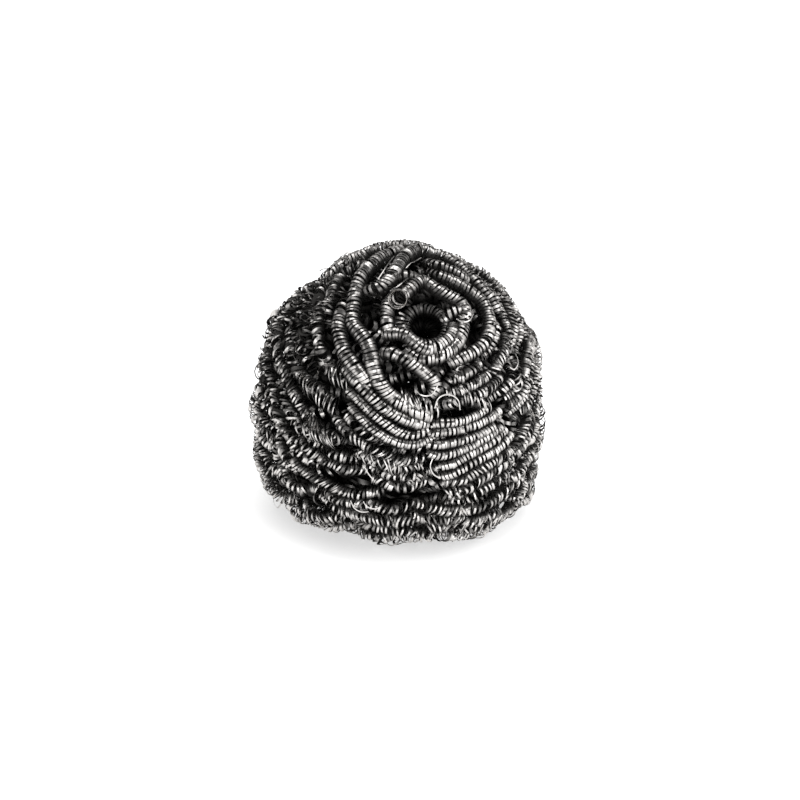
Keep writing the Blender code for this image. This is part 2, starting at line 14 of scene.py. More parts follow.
import bmesh
import bpy
import numpy as np
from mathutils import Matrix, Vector


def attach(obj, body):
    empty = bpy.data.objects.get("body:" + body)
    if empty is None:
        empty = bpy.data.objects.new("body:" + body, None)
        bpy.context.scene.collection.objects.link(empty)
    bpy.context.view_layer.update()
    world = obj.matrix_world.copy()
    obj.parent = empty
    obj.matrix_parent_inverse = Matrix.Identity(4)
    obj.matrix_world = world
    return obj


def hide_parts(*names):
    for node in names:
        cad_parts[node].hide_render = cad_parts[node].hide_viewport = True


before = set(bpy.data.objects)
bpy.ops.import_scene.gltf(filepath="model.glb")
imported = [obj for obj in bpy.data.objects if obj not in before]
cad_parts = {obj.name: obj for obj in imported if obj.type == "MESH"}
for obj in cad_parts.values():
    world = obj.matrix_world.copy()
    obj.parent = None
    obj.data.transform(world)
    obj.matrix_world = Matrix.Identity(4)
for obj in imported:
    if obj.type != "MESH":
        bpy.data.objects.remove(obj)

log = logging.getLogger("steel_wool_roll")

NODE = "coiled_strand"
BODY = "root"
# Point attributes for the painted shade: how each point faces the light above, and how much shade is
# painted into its colour
FACING = "faces_outwards"
SHADED = "in_shade"

MM = 0.001
FULL_TURN = 2.0 * math.pi
UP = np.array((0.0, 0.0, 1.0))
NEARLY_ZERO = 1e-9
WHITE = (1.0, 1.0, 1.0, 1.0)
CURVE_STEPS = 12

# The crown's loops in the order that they are laid: mm across, mm up and mm proud, on a sketch that
# stands square to the line of sight
CROWN_LOOPS = {
    "top_edge": (
        (-18.5, 32.2, 0.0), (-15.0, 35.0, 0.3), (-12.0, 36.8, 0.4), (-9.0, 38.2, 0.4), (-6.0, 39.4, 0.6),
        (-3.0, 40.0, 0.5), (1.0, 40.2, 0.4), (5.0, 39.9, 0.0), (8.5, 39.2, -0.6),
    ),
    "second_edge": (
        (1.6, 38.9, -1.0), (-1.6, 38.4, 0.2), (-4.4, 37.2, 0.6), (-6.8, 35.6, 0.8), (-8.8, 33.8, 0.9),
        (-10.1, 31.8, 0.9), (-11.1, 29.6, 0.8), (-11.7, 27.3, 0.7), (-12.1, 24.8, 0.5), (-12.3, 22.3, 0.3),
        (-12.4, 19.7, 0.4), (-10.6, 17.2, 0.7), (-8.7, 14.7, 0.9), (-7.5, 11.6, 1.0), (-7.0, 8.5, 1.0),
        (-6.0, 5.4, 0.9), (-4.3, 2.5, 0.8), (-1.6, -0.1, 0.6), (1.6, -2.3, 0.3), (4.8, -4.1, 0.0),
        (8.0, -5.2, -0.7),
    ),
    "over_the_crown": (
        (-9.6, 27.2, -1.6), (-7.8, 28.3, 0.2), (-5.6, 28.8, 0.8), (-3.8, 29.9, 1.0), (-2.3, 31.6, 1.1),
        (-0.9, 33.7, 1.2), (0.4, 35.8, 1.3), (1.8, 37.6, 1.4), (3.5, 38.8, 1.5), (5.6, 39.3, 1.5),
        (7.5, 38.8, 1.3), (9.0, 38.1, 1.0), (11.0, 37.6, 0.9), (13.0, 36.7, 0.8), (15.8, 34.9, 0.6),
        (18.3, 32.9, 0.4), (20.1, 31.0, 0.3), (22.0, 28.6, 0.2), (24.4, 25.6, 0.0), (26.0, 22.6, -0.4),
    ),
    "crown_tuck": (
        (-1.8, 30.9, -0.8), (0.2, 32.2, 0.2), (2.2, 32.2, 0.2), (4.2, 31.6, -0.8),
    ),
    "free_end": (
        (2.6, 28.2, 1.6), (4.2, 30.0, 1.7), (6.0, 31.0, 1.6), (7.8, 30.3, 1.3), (9.7, 28.9, 1.2),
        (11.7, 27.8, 1.1), (13.7, 26.8, 1.0), (15.6, 25.7, 0.9), (17.2, 24.2, 0.8), (17.9, 22.3, 0.6),
        (17.6, 20.2, 0.0),
    ),
    "right_shoulder": (
        (8.0, 33.0, -1.2), (10.5, 32.2, -0.1), (13.4, 31.2, 0.3), (16.4, 29.8, 0.5), (19.3, 27.9, 0.6),
        (21.7, 25.9, 0.6), (23.3, 23.6, 0.6), (24.1, 20.8, 0.5), (24.0, 17.6, 0.4), (22.8, 14.6, 0.4),
        (20.6, 12.4, 0.4), (18.0, 11.0, 0.3), (15.2, 9.8, 0.0), (12.6, 8.9, -0.8),
    ),
    "upper_right": (
        (7.4, 35.6, -0.9), (9.8, 35.0, 0.2), (12.2, 34.2, 0.4), (14.4, 33.4, 0.4), (16.6, 32.0, 0.2),
        (18.8, 30.2, -0.6),
    ),
    "heart_loop": (
        (-4.6, 16.4, -0.6), (-2.4, 16.9, 0.2), (-0.3, 16.9, 0.5), (1.8, 16.4, 0.8), (3.3, 15.1, 0.9),
        (4.8, 13.8, 0.9), (6.3, 12.8, 0.9), (8.0, 12.4, 0.9), (9.8, 12.9, 0.8), (11.3, 13.9, 0.6),
        (12.9, 15.2, 0.3), (14.2, 17.0, -0.3), (14.6, 19.2, -1.4),
    ),
    "outer_loop": (
        (1.4, 12.6, -1.2), (3.5, 10.9, 0.0), (6.0, 10.0, 0.3), (8.5, 10.0, 0.5), (11.0, 10.7, 0.6),
        (13.3, 11.9, 0.7), (15.2, 13.7, 0.7), (16.6, 16.0, 0.5), (17.2, 18.6, 0.2), (16.8, 21.0, -0.8),
    ),
    "heart_left": (
        (-3.0, 25.2, -0.8), (-3.1, 23.2, 0.4), (-3.2, 21.3, 0.6), (-3.2, 19.4, 0.4), (-2.6, 17.4, -0.9),
    ),
    "heart_right": (
        (12.2, 20.6, -2.0), (13.0, 21.7, -0.9), (14.2, 22.5, -0.3), (15.7, 23.2, 0.0), (17.2, 23.5, -0.9),
    ),
    "lower_loop": (
        (-4.2, 11.6, -1.0), (-1.9, 11.6, 0.2), (0.8, 10.5, 0.5), (3.1, 9.1, 0.7), (5.2, 7.7, 0.8),
        (6.9, 6.3, 0.8), (8.5, 5.1, 0.6), (9.6, 3.4, 0.3), (9.4, 1.5, -0.2), (7.8, 0.3, -1.0),
    ),
    "left_pair": (
        (-14.4, 24.6, -1.2), (-15.2, 22.6, 0.2), (-15.8, 20.5, 0.6), (-16.1, 18.3, 0.8), (-15.7, 16.0, 0.8),
        (-15.1, 13.6, 0.8), (-14.1, 11.3, 0.8), (-12.7, 9.2, 0.8), (-11.1, 7.3, 0.7), (-9.4, 5.4, 0.4),
        (-8.0, 3.4, -0.8),
    ),
    "side_fall": (
        (-15.2, 9.6, -1.0), (-13.9, 7.4, 0.2), (-12.3, 5.3, 0.4), (-10.4, 3.3, 0.5), (-8.6, 1.4, 0.5),
        (-6.6, -0.6, 0.5), (-4.2, -2.6, 0.5), (-1.6, -4.4, 0.4), (1.3, -5.9, 0.3), (4.3, -6.9, 0.0),
        (7.0, -7.3, -0.8),
    ),
    "necklace": (
        (-13.7, 2.0, -0.6), (-11.5, -0.2, 0.3), (-9.2, -2.3, 0.5), (-7.0, -4.5, 0.6), (-4.8, -6.3, 0.7),
        (-2.6, -7.8, 0.7), (0.0, -9.4, 0.6), (2.8, -10.2, 0.5), (5.6, -9.8, 0.3), (8.2, -8.6, -0.7),
    ),
    "under_necklace": (
        (-13.0, -2.2, -0.8), (-10.8, -4.8, 0.1), (-8.4, -7.1, 0.3), (-6.0, -9.2, 0.5), (-3.4, -10.9, 0.5),
        (-0.8, -12.0, 0.5), (1.6, -12.6, 0.5), (4.2, -12.7, 0.4), (6.8, -11.8, -0.2), (8.8, -10.9, -1.0),
    ),
    "right_row_one": (
        (8.6, -7.2, -0.6), (11.0, -7.1, 0.3), (13.5, -7.0, 0.5), (16.0, -6.7, 0.5), (18.3, -6.0, 0.4),
        (20.8, -4.8, 0.2), (23.2, -3.2, 0.0),
    ),
    "right_row_two": (
        (8.4, -9.8, -0.3), (11.0, -9.6, 0.4), (13.5, -9.2, 0.5), (16.0, -8.8, 0.5), (18.5, -8.1, 0.5),
        (21.2, -7.2, 0.3), (24.0, -5.8, 0.1), (26.6, -3.8, -0.1),
    ),
    "right_row_three": (
        (7.4, -12.4, -0.6), (10.0, -12.8, 0.3), (12.5, -12.6, 0.4), (15.0, -12.1, 0.4), (17.5, -11.5, 0.4),
        (20.0, -10.6, 0.3), (22.6, -9.4, 0.3), (25.2, -7.8, 0.1),
    ),
    "right_row_four": (
        (7.4, -14.8, -0.8), (10.0, -15.7, 0.1), (12.5, -15.6, 0.3), (15.0, -14.9, 0.4), (17.4, -13.9, 0.4),
        (19.8, -12.7, 0.3), (22.2, -11.5, 0.3), (24.6, -10.1, 0.3), (27.0, -8.2, 0.0),
    ),
    "right_row_five": (
        (10.6, -18.5, -0.4), (13.0, -18.3, 0.4), (15.3, -17.4, 0.6), (17.2, -16.4, 0.6), (19.3, -15.2, 0.6),
        (21.5, -14.0, 0.5), (23.8, -12.6, 0.5), (26.0, -11.0, 0.4), (28.2, -8.8, 0.1),
    ),
    "right_row_six": (
        (11.2, -21.2, -0.8), (14.0, -20.7, 0.3), (16.4, -19.5, 0.4), (18.8, -18.1, 0.5), (21.2, -16.8, 0.5),
        (23.6, -15.5, 0.4), (26.0, -14.0, 0.3), (28.2, -12.2, 0.2), (30.0, -9.8, -0.1),
    ),
}

# The free end before its loop begins, from its open mouth inwards, on the same sketch
MOUTH_ROUTE = ((-0.45, 26.2, 2.9), (-0.3, 26.3, 2.2), (0.2, 26.7, 1.5), (1.2, 27.3, 1.2), (2.6, 28.3, 1.3),
               (4.2, 30.0, 1.6))

# Loose turns that stand out of the outline, on the same sketch
STRAY_TURNS = ((16.6, 36.2, 1.6), (19.8, 34.4, 1.6), (-17.2, 35.4, 1.5), (-36.4, 15.2, 1.3),
               (-22.0, 31.6, 1.0), (30.4, 25.0, 1.0), (-37.5, -7.5, 1.0))

# Single loose wires that lie over the windings, on the same sketch
LOOSE_WIRES = (
    ((-1.3, 37.8, 2.2), (-3.0, 35.6, 2.5), (-4.6, 33.2, 2.5), (-5.9, 31.2, 2.0)),
    ((6.0, 37.5, 2.0), (4.6, 36.6, 2.4), (3.2, 36.0, 2.4), (1.8, 34.5, 2.0)),
    ((2.5, 32.0, 2.0), (0.0, 30.0, 2.4), (-2.4, 28.6, 2.0)),
    ((-9.9, -1.5, 1.6), (-9.0, -3.0, 2.2), (-8.0, -4.3, 1.6)),
    ((-9.2, -18.8, 1.8), (-8.2, -20.6, 2.4), (-6.8, -22.3, 1.8)),
    ((4.8, 2.0, 1.5), (5.6, 0.8, 2.2), (7.0, 0.3, 2.4), (8.6, 0.6, 2.4), (9.5, 1.5, 2.3), (10.3, 3.0, 2.1),
     (10.0, 4.5, 1.4)),
    ((16.0, 22.0, 1.2), (17.4, 21.4, 2.0), (18.8, 22.2, 2.2), (19.2, 23.8, 2.2), (18.4, 25.4, 2.0),
     (16.8, 25.8, 1.4)),
    ((15.4, 21.0, 1.2), (17.0, 20.2, 2.0), (18.9, 20.6, 2.2), (20.0, 22.4, 1.8)),
    ((9.6, -3.0, 1.2), (10.4, -0.6, 1.9), (12.2, 0.6, 2.2), (14.4, 0.4, 2.2), (16.0, -1.0, 2.0),
     (16.4, -3.4, 1.2)),
    ((-13.0, -27.8, 0.8), (-12.0, -29.8, 1.8), (-10.2, -30.8, 1.9), (-8.2, -30.8, 0.8)),
    ((-9.6, -28.0, 0.8), (-8.6, -29.4, 1.8), (-6.8, -30.0, 1.8), (-5.2, -29.6, 0.9)),
    ((-34.0, -27.2, 1.0), (-34.2, -29.0, 1.9), (-32.8, -29.8, 2.1), (-31.6, -28.6, 1.2)),
    ((9.0, -16.6, 1.2), (8.4, -18.6, 2.2), (9.2, -20.6, 2.2), (10.6, -21.6, 1.4)),
    ((12.6, 13.0, 1.6), (14.4, 14.0, 2.1), (15.6, 15.6, 2.1), (15.8, 17.2, 1.6)),
    ((30.2, 12.6, 1.2), (31.6, 11.0, 2.2), (32.0, 9.0, 2.2), (31.0, 7.4, 1.6), (29.8, 8.0, 1.4)),
)

# Stretches whose turns have come apart into long thin arcs, on the same sketch
FANNED_STRETCHES = (
    ((16.4, 0.6, -0.4), (18.6, -0.4, 0.1), (21.0, -1.4, 0.1), (23.6, -2.3, -0.4)),
    ((1.2, -0.4, -0.8), (3.6, -1.2, -0.3), (6.4, -2.2, -0.3), (9.6, -3.6, -0.8)),
    ((-18.4, 6.4, -0.6), (-16.2, 5.2, -0.3), (-13.4, 3.4, -0.6)),
    ((-26.6, -7.4, -0.6), (-23.6, -8.8, -0.3), (-20.0, -10.6, -0.3), (-16.0, -12.2, -0.6)),
    ((-10.0, -15.4, -0.6), (-6.8, -16.6, -0.2), (-3.4, -17.8, -0.2), (0.0, -19.0, -0.6)),
    ((30.0, 6.4, -0.6), (30.8, 4.0, -0.2), (30.4, 1.4, -0.6)),
    ((-25.0, 3.4, -1.0), (-21.0, 0.4, -0.6), (-17.0, -3.2, -1.0)),
)

# The bright strand down the right edge
EDGE_STRETCHES = (
    ((34.6, 17.6, -0.2), (34.9, 14.6, 0.4), (34.5, 11.4, 0.6), (33.8, 8.4, 0.6), (33.2, 5.4, 0.0)),
)

# Splayed turns piled up where the lower right edge bulges
SPLAYED_STRETCHES = (
    ((33.4, -22.0, 0.0), (32.4, -26.0, 0.5), (30.0, -29.4, 0.7), (26.4, -32.2, 0.8), (22.4, -34.2, 0.8),
     (18.0, -35.4, 0.5), (14.0, -36.0, 0.0)),
    ((24.4, -34.4, 0.5), (20.4, -36.2, 1.2), (16.0, -37.0, 1.5), (11.6, -37.0, 1.5), (7.2, -36.8, 0.9),
     (3.6, -36.2, 0.0)),
    ((27.0, -30.0, 0.3), (22.0, -32.6, 0.6), (16.4, -34.0, 0.6), (10.8, -34.6, 0.6), (5.4, -34.6, 0.2)),
    ((4.6, -28.8, 0.1), (8.8, -30.0, 0.5), (13.2, -30.6, 0.6), (17.8, -30.2, 0.1)),
    ((3.2, -31.8, 0.1), (7.6, -32.8, 0.5), (12.2, -33.0, 0.5), (16.6, -32.4, 0.1)),
)

# Tangled turns along the upper left edge
TANGLED_STRETCHES = (
    ((-11.0, 34.8, 0.0), (-16.0, 33.4, 0.8), (-21.0, 30.8, 1.0), (-25.6, 27.2, 1.0), (-29.6, 22.8, 1.0),
     (-32.8, 17.6, 1.0), (-35.0, 12.0, 0.9), (-36.4, 6.6, 0.0)),
    ((-14.0, 28.4, 0.2), (-18.6, 25.6, 0.8), (-22.4, 21.6, 0.8), (-25.4, 16.8, 0.8), (-27.2, 11.4, 0.2)),
)

# A short stretch through the middle of the base, in mm on the floor
BASE_HEART = ((-7.0, -2.6), (-4.6, -0.4), (-2.2, 0.7), (0.0, 0.0), (2.2, -0.7), (4.6, 0.4), (7.0, 2.6))


class Layer(Enum):
    """The strand's layers, from the outside in."""

    OUTER = "outer"
    SECOND = "second"
    THIRD = "third"
    DEEP = "deep"
    DEEPEST = "deepest"


class Region(Enum):
    """Where on the ball a group of windings lies."""

    CROWN = "crown_loops"
    LEFT = "left_flank_turns"
    RIGHT = "right_flank_turns"
    BACK = "back_turns"
    BASE = "base_turns"
    SECOND_UPPER = "second_layer_upper"
    SECOND_LOWER = "second_layer_lower"
    DEEP = "deep_layer_turns"


def unit(vectors: np.ndarray) -> np.ndarray:
    """The same vectors, each one long."""
    return vectors / np.linalg.norm(vectors, axis=-1, keepdims=True)


def smoothstep(value: np.ndarray) -> np.ndarray:
    """An S-shaped ramp from 0 to 1."""
    clipped = np.clip(value, 0.0, 1.0)
    return clipped * clipped * (3.0 - 2.0 * clipped)


def direction_at(azimuth: float, elevation: float) -> np.ndarray:
    """A direction from the ball's centre.

    Args:
        azimuth: Degrees from the front towards +X.
        elevation: Degrees above level.

    Returns:
        A vector one long.
    """
    around = math.radians(azimuth)
    up = math.radians(elevation)
    return np.array((math.sin(around) * math.cos(up), -math.cos(around) * math.cos(up), math.sin(up)))


def smooth_route(points: np.ndarray, spacing: float) -> np.ndarray:
    """A Catmull-Rom curve through points.

    Args:
        points: Rows of x, y, z and any further columns to carry along.
        spacing: The distance between the points that come back.

    Returns:
        Evenly spaced rows with the same columns.
    """
    padded = np.vstack((2 * points[0] - points[1], points, 2 * points[-1] - points[-2]))
    pieces = []
    for before, start, end, after in zip(padded, padded[1:], padded[2:], padded[3:]):
        share = np.linspace(0.0, 1.0, CURVE_STEPS, endpoint=False)[:, None]
        pieces.append(
            0.5
            * (
                2 * start
                + (end - before) * share
                + (2 * before - 5 * start + 4 * end - after) * share**2
                + (3 * start - before - 3 * end + after) * share**3
            )
        )
    curve = np.vstack(pieces + [points[-1:]])
    travelled = np.concatenate(((0.0,), np.cumsum(np.linalg.norm(np.diff(curve[:, :3], axis=0), axis=1))))
    stops = np.linspace(0.0, travelled[-1], max(3, int(travelled[-1] / spacing) + 1))
    return np.stack([np.interp(stops, travelled, curve[:, axis]) for axis in range(curve.shape[1])], axis=1)


@dataclass
class Winding:
    """A stretch of strand: points on the resting surface, and how deep each lies below it."""

    points: np.ndarray
    depth: np.ndarray
    name: str = ""


@dataclass(frozen=True)
class SightLine:
    """The line of sight that the crown's loops are sketched square to, which the camera shares."""

    elevation: float = 24.0
    distance: float = 0.600
    height: float = 0.030

    @property
    def aim(self) -> np.ndarray:
        """The point looked at."""
        return np.array((0.0, 0.0, self.height))

    @property
    def right(self) -> np.ndarray:
        """The sketch's direction to the right."""
        return np.array((1.0, 0.0, 0.0))

    @property
    def up(self) -> np.ndarray:
        """The sketch's upward direction."""
        tilt = math.radians(self.elevation)
        return np.array((0.0, math.sin(tilt), math.cos(tilt)))

    @property
    def eye(self) -> np.ndarray:
        """Where the eye is."""
        tilt = math.radians(self.elevation)
        return self.aim + self.distance * np.array((0.0, -math.cos(tilt), math.sin(tilt)))


@dataclass(frozen=True)
class BallForm:
    """The outline of the ball over the crests of its outermost windings."""

    LOOK_STEPS = 400

    radius: float = 0.0391
    crown_rise: float = 0.0442
    base_drop: float = 0.0278
    crown_power: float = 2.24
    base_power: float = 4.8
    base_flat: float = 0.0008
    strand_radius: float = 0.0016
    lumps: tuple = (
        (-125.0, 52.0, -0.0017, 12.0),
        (-156.0, 64.0, 0.0008, 10.0),
        (-88.0, 0.0, 0.0007, 12.0),
        (-49.0, -56.0, -0.0014, 16.0),
        (64.0, -44.0, 0.0024, 10.0),
        (85.0, -16.0, -0.0006, 8.0),
        (92.0, 12.0, -0.0008, 8.0),
        (103.0, 28.0, 0.0009, 12.0),
    )

    @property
    def centre(self) -> np.ndarray:
        """The point that the outline's distances are counted from."""
        return np.array((0.0, 0.0, self.base_drop - self.base_flat))

    def envelope(self, directions: np.ndarray) -> np.ndarray:
        """Distance from the centre to the crests.

        Args:
            directions: Rows of directions from the centre, each one long.

        Returns:
            The distance along each of them, in metres.
        """
        level = np.hypot(directions[:, 0], directions[:, 1]) / self.radius
        up = directions[:, 2]
        rise = np.where(up > 0.0, self.crown_rise, self.base_drop)
        power = np.where(up > 0.0, self.crown_power, self.base_power)
        reach = (level**power + np.abs(up / rise) ** power) ** (-1.0 / power)
        for azimuth, elevation, height, spread in self.lumps:
            nearness = directions @ direction_at(azimuth, elevation)
            turn = np.degrees(np.arccos(np.clip(nearness, -1.0, 1.0)))
            reach = reach + height * np.exp(-0.5 * (turn / spread) ** 2)
        return reach

    def settle(self, points: np.ndarray) -> np.ndarray:
        """Bring points onto the resting surface, where a strand's middle lies in the outer layer."""
        directions = unit(points - self.centre)
        return self.centre + directions * (self.envelope(directions) - self.strand_radius)[:, None]

    def outward(self, points: np.ndarray) -> np.ndarray:
        """The ball's outward normals, lumps aside.

        Args:
            points: Rows of points on the ball or near it.

        Returns:
            The normal at each of them, one long.
        """
        offset = points - self.centre
        up = offset[:, 2]
        rise = np.where(up > 0.0, self.crown_rise, self.base_drop)
        power = np.where(up > 0.0, self.crown_power, self.base_power)
        level = np.hypot(offset[:, 0], offset[:, 1]) + NEARLY_ZERO
        sideways = (level / self.radius) ** (power - 1.0) / self.radius
        upward = np.sign(up) * np.abs(up / rise) ** (power - 1.0) / rise
        across = offset[:, 0] / level * sideways
        inward = offset[:, 1] / level * sideways
        spread = np.stack((across, inward, upward), axis=1)
        return unit(spread)

    def below_crests(self, points: np.ndarray) -> np.ndarray:
        """How deep points lie below the crests, in metres."""
        offset = points - self.centre
        return self.envelope(unit(offset)) - np.linalg.norm(offset, axis=1)

    def lay_from_eye(self, sight: SightLine, sketch_points: Iterable) -> np.ndarray:
        """Carry sketch points along the line of sight, then onto the resting surface.

        Args:
            sight: The line of sight of the sketch.
            sketch_points: Rows of across, up and proud, in mm.

        Returns:
            One point on the resting surface for each row.
        """
        sketch = np.asarray(sketch_points) * MM
        targets = sight.aim + sketch[:, :1] * sight.right + sketch[:, 1:2] * sight.up
        laid = []
        for ray, proud in zip(unit(targets - sight.eye), sketch[:, 2]):
            nearest = sight.distance - 2.0 * self.radius
            travel = np.linspace(nearest, sight.distance + self.radius, self.LOOK_STEPS)
            line = sight.eye + travel[:, None] * ray
            resting = np.linalg.norm(self.settle(line) - self.centre, axis=1)
            clearance = np.linalg.norm(line - self.centre, axis=1) - resting - proud
            inside = np.nonzero(clearance <= 0.0)[0]
            if len(inside):
                last = inside[0]
                share = clearance[last - 1] / (clearance[last - 1] - clearance[last])
                laid.append(line[last - 1] + share * (line[last] - line[last - 1]))
            else:
                laid.append(line[np.argmin(clearance)])
        return self.settle(np.array(laid))


@dataclass(frozen=True)
class OpenHeart:
    """The hollow at the middle of the swirl."""

    SPIRAL_POINTS = 90
    FLOOR_CLEARANCE = 3.0

    sketch: tuple = (7.6, 21.6, 0.0)
    radius: float = 0.0074
    depth: float = 0.0125
    turns: float = 1.9
    turn_inset: float = 0.0034

    def axis(self, ball: BallForm, sight: SightLine) -> np.ndarray:
        """The direction from the ball's centre out through the hollow."""
        return unit(ball.lay_from_eye(sight, [self.sketch])[0] - ball.centre)

    def spiral(self, ball: BallForm, sight: SightLine) -> Winding:
        """The strand's inner turns, which spiral down the hollow's wall.

        Args:
            ball: The ball's outline.
            sight: The line of sight of the sketch.

        Returns:
            The spiral as one winding, which stops a few strand radii above the hollow's floor.
        """
        axis = self.axis(ball, sight)
        side = unit(np.cross(axis, np.array((0.0, 1.0, 0.0))))
        other = np.cross(axis, side)
        share = np.linspace(0.0, 1.0, self.SPIRAL_POINTS)[:, None]
        angle = share * self.turns * FULL_TURN
        radius = self.radius - share * self.turn_inset
        reach = np.linalg.norm(ball.settle(ball.centre + axis[None]) - ball.centre)
        points = ball.centre + axis * reach + radius * (np.cos(angle) * side + np.sin(angle) * other)
        depth = ball.strand_radius + share[:, 0] * (self.depth - self.FLOOR_CLEARANCE * ball.strand_radius)
        return Winding(ball.settle(points), depth, "heart_spiral")


class Crowd:
    """Points already wound, kept in cubic cells so that near ones are found fast."""

    def __init__(self, cell: float) -> None:
        """Start empty, with cells of one size."""
        self.cell = cell
        self.cells: dict = {}

    def key(self, point: Sequence[float]) -> tuple:
        """The cell that a point falls in."""
        return tuple(int(math.floor(value / self.cell)) for value in point)

    def add(self, points: Iterable) -> None:
        """Put more points in."""
        for point in points:
            self.cells.setdefault(self.key(point), []).append(tuple(point))

    def is_near(self, point: Sequence[float], gap: float) -> bool:
        """Whether any point lies near.

        Args:
            point: The place asked about.
            gap: How near counts, which is no more than a cell.

        Returns:
            True where one does.
        """
        x, y, z = point
        across, along, up = self.key(point)
        for i in (across - 1, across, across + 1):
            for j in (along - 1, along, along + 1):
                for k in (up - 1, up, up + 1):
                    for px, py, pz in self.cells.get((i, j, k), ()):
                        if (px - x) ** 2 + (py - y) ** 2 + (pz - z) ** 2 < gap * gap:
                            return True
        return False


class TwoCrowds:
    """A settled crowd and a trial one on top, which may be thrown away."""

    def __init__(self, settled: Crowd) -> None:
        """Start a trial on a settled crowd."""
        self.settled = settled
        self.trial = Crowd(settled.cell)

    def add(self, points: Iterable) -> None:
        """Put points in the trial crowd only."""
        self.trial.add(points)

    def is_near(self, point: Sequence[float], gap: float) -> bool:
        """Whether either crowd has a point within gap."""
        return self.settled.is_near(point, gap) or self.trial.is_near(point, gap)


@dataclass(frozen=True)
class WindingRule:
    """How closely and how evenly one layer is wound."""

    seed: int
    spacing: float
    closest: float
    layer_depth: float = 0.0
    cross_angle: float = 0.0
    open_heart: bool = True
    shortest: float = 0.012
    longest: float = 0.120
    step: float = 0.0008
    tuck_length: float = 0.006
    tuck_depth: float = 0.0026
    unevenness: float = 0.0005


class Flow:
    """Which way the strand runs at each place of the ball."""

    LEVEL_BELOW = 0.006
    SWIRL_ABOVE = 0.026
    GUIDE_REACH = 0.0042
    GUIDE_STRIDE = 3
    OWN_WEIGHT = 0.5
    SWING = math.radians(17.0)
    WAVES = 5
    WAVELENGTH = 0.055
    WAVE_GAIN = 1.6

    def __init__(
        self, ball: BallForm, swirl: np.ndarray, guides: list, rng: np.random.Generator, cross_angle: float
    ) -> None:
        """Set the swirl, the wandering and the guides.

        Args:
            ball: The ball's outline.
            swirl: The direction out through the open heart.
            guides: Windings whose headings the flow takes up nearby; may be empty.
            rng: Where the wandering comes from.
            cross_angle: Degrees that the whole flow is turned by.
        """
        self.ball = ball
        self.swirl = swirl
        self.cross_angle = math.radians(cross_angle)
        self.waves = rng.normal(size=(self.WAVES, 3)) * FULL_TURN / self.WAVELENGTH
        self.phases = rng.uniform(0.0, FULL_TURN, self.WAVES)
        self.guide_points = np.zeros((0, 3))
        self.guide_headings = np.zeros((0, 3))
        if guides:
            stride = self.GUIDE_STRIDE
            self.guide_points = np.vstack([guide.points[::stride] for guide in guides])
            headings = np.vstack([np.gradient(guide.points, axis=0)[::stride] for guide in guides])
            same_way = np.sign(np.sum(headings * self.about_the_swirl(self.guide_points), axis=1))
            self.guide_headings = unit(headings) * same_way[:, None]

    def about_the_swirl(self, points: np.ndarray) -> np.ndarray:
        """Headings that circle the swirl on the crown and lie level on the base.

        Args:
            points: Rows of points on the ball.

        Returns:
            The heading at each of them, one long.
        """
        share = smoothstep((points[:, 2:3] - self.LEVEL_BELOW) / (self.SWIRL_ABOVE - self.LEVEL_BELOW))
        axis = unit(share * self.swirl + (1.0 - share) * UP)
        return unit(np.cross(axis, self.ball.outward(points)) + NEARLY_ZERO)

    def wander(self, points: np.ndarray) -> np.ndarray:
        """A smooth swing of the heading, from about -1 to 1."""
        return np.sin(points @ self.waves.T + self.phases).mean(axis=1) * self.WAVE_GAIN

    def heading(self, point: np.ndarray) -> np.ndarray:
        """The strand's heading: the flow's own, bent towards the guides nearby.

        Args:
            point: A point on the ball.

        Returns:
            The heading there, one long and square to the ball's normal.
        """
        here = point[None]
        normal = self.ball.outward(here)[0]
        level = self.about_the_swirl(here)[0]
        swing = self.SWING * self.wander(here)[0] + self.cross_angle
        level = level * math.cos(swing) + np.cross(normal, level) * math.sin(swing)
        apart = np.sum((self.guide_points - point) ** 2, axis=1)
        weight = np.exp(-0.5 * apart / self.GUIDE_REACH**2)
        blended = self.OWN_WEIGHT * level + weight @ self.guide_headings
        blended -= normal * (blended @ normal)
        return blended / np.linalg.norm(blended)


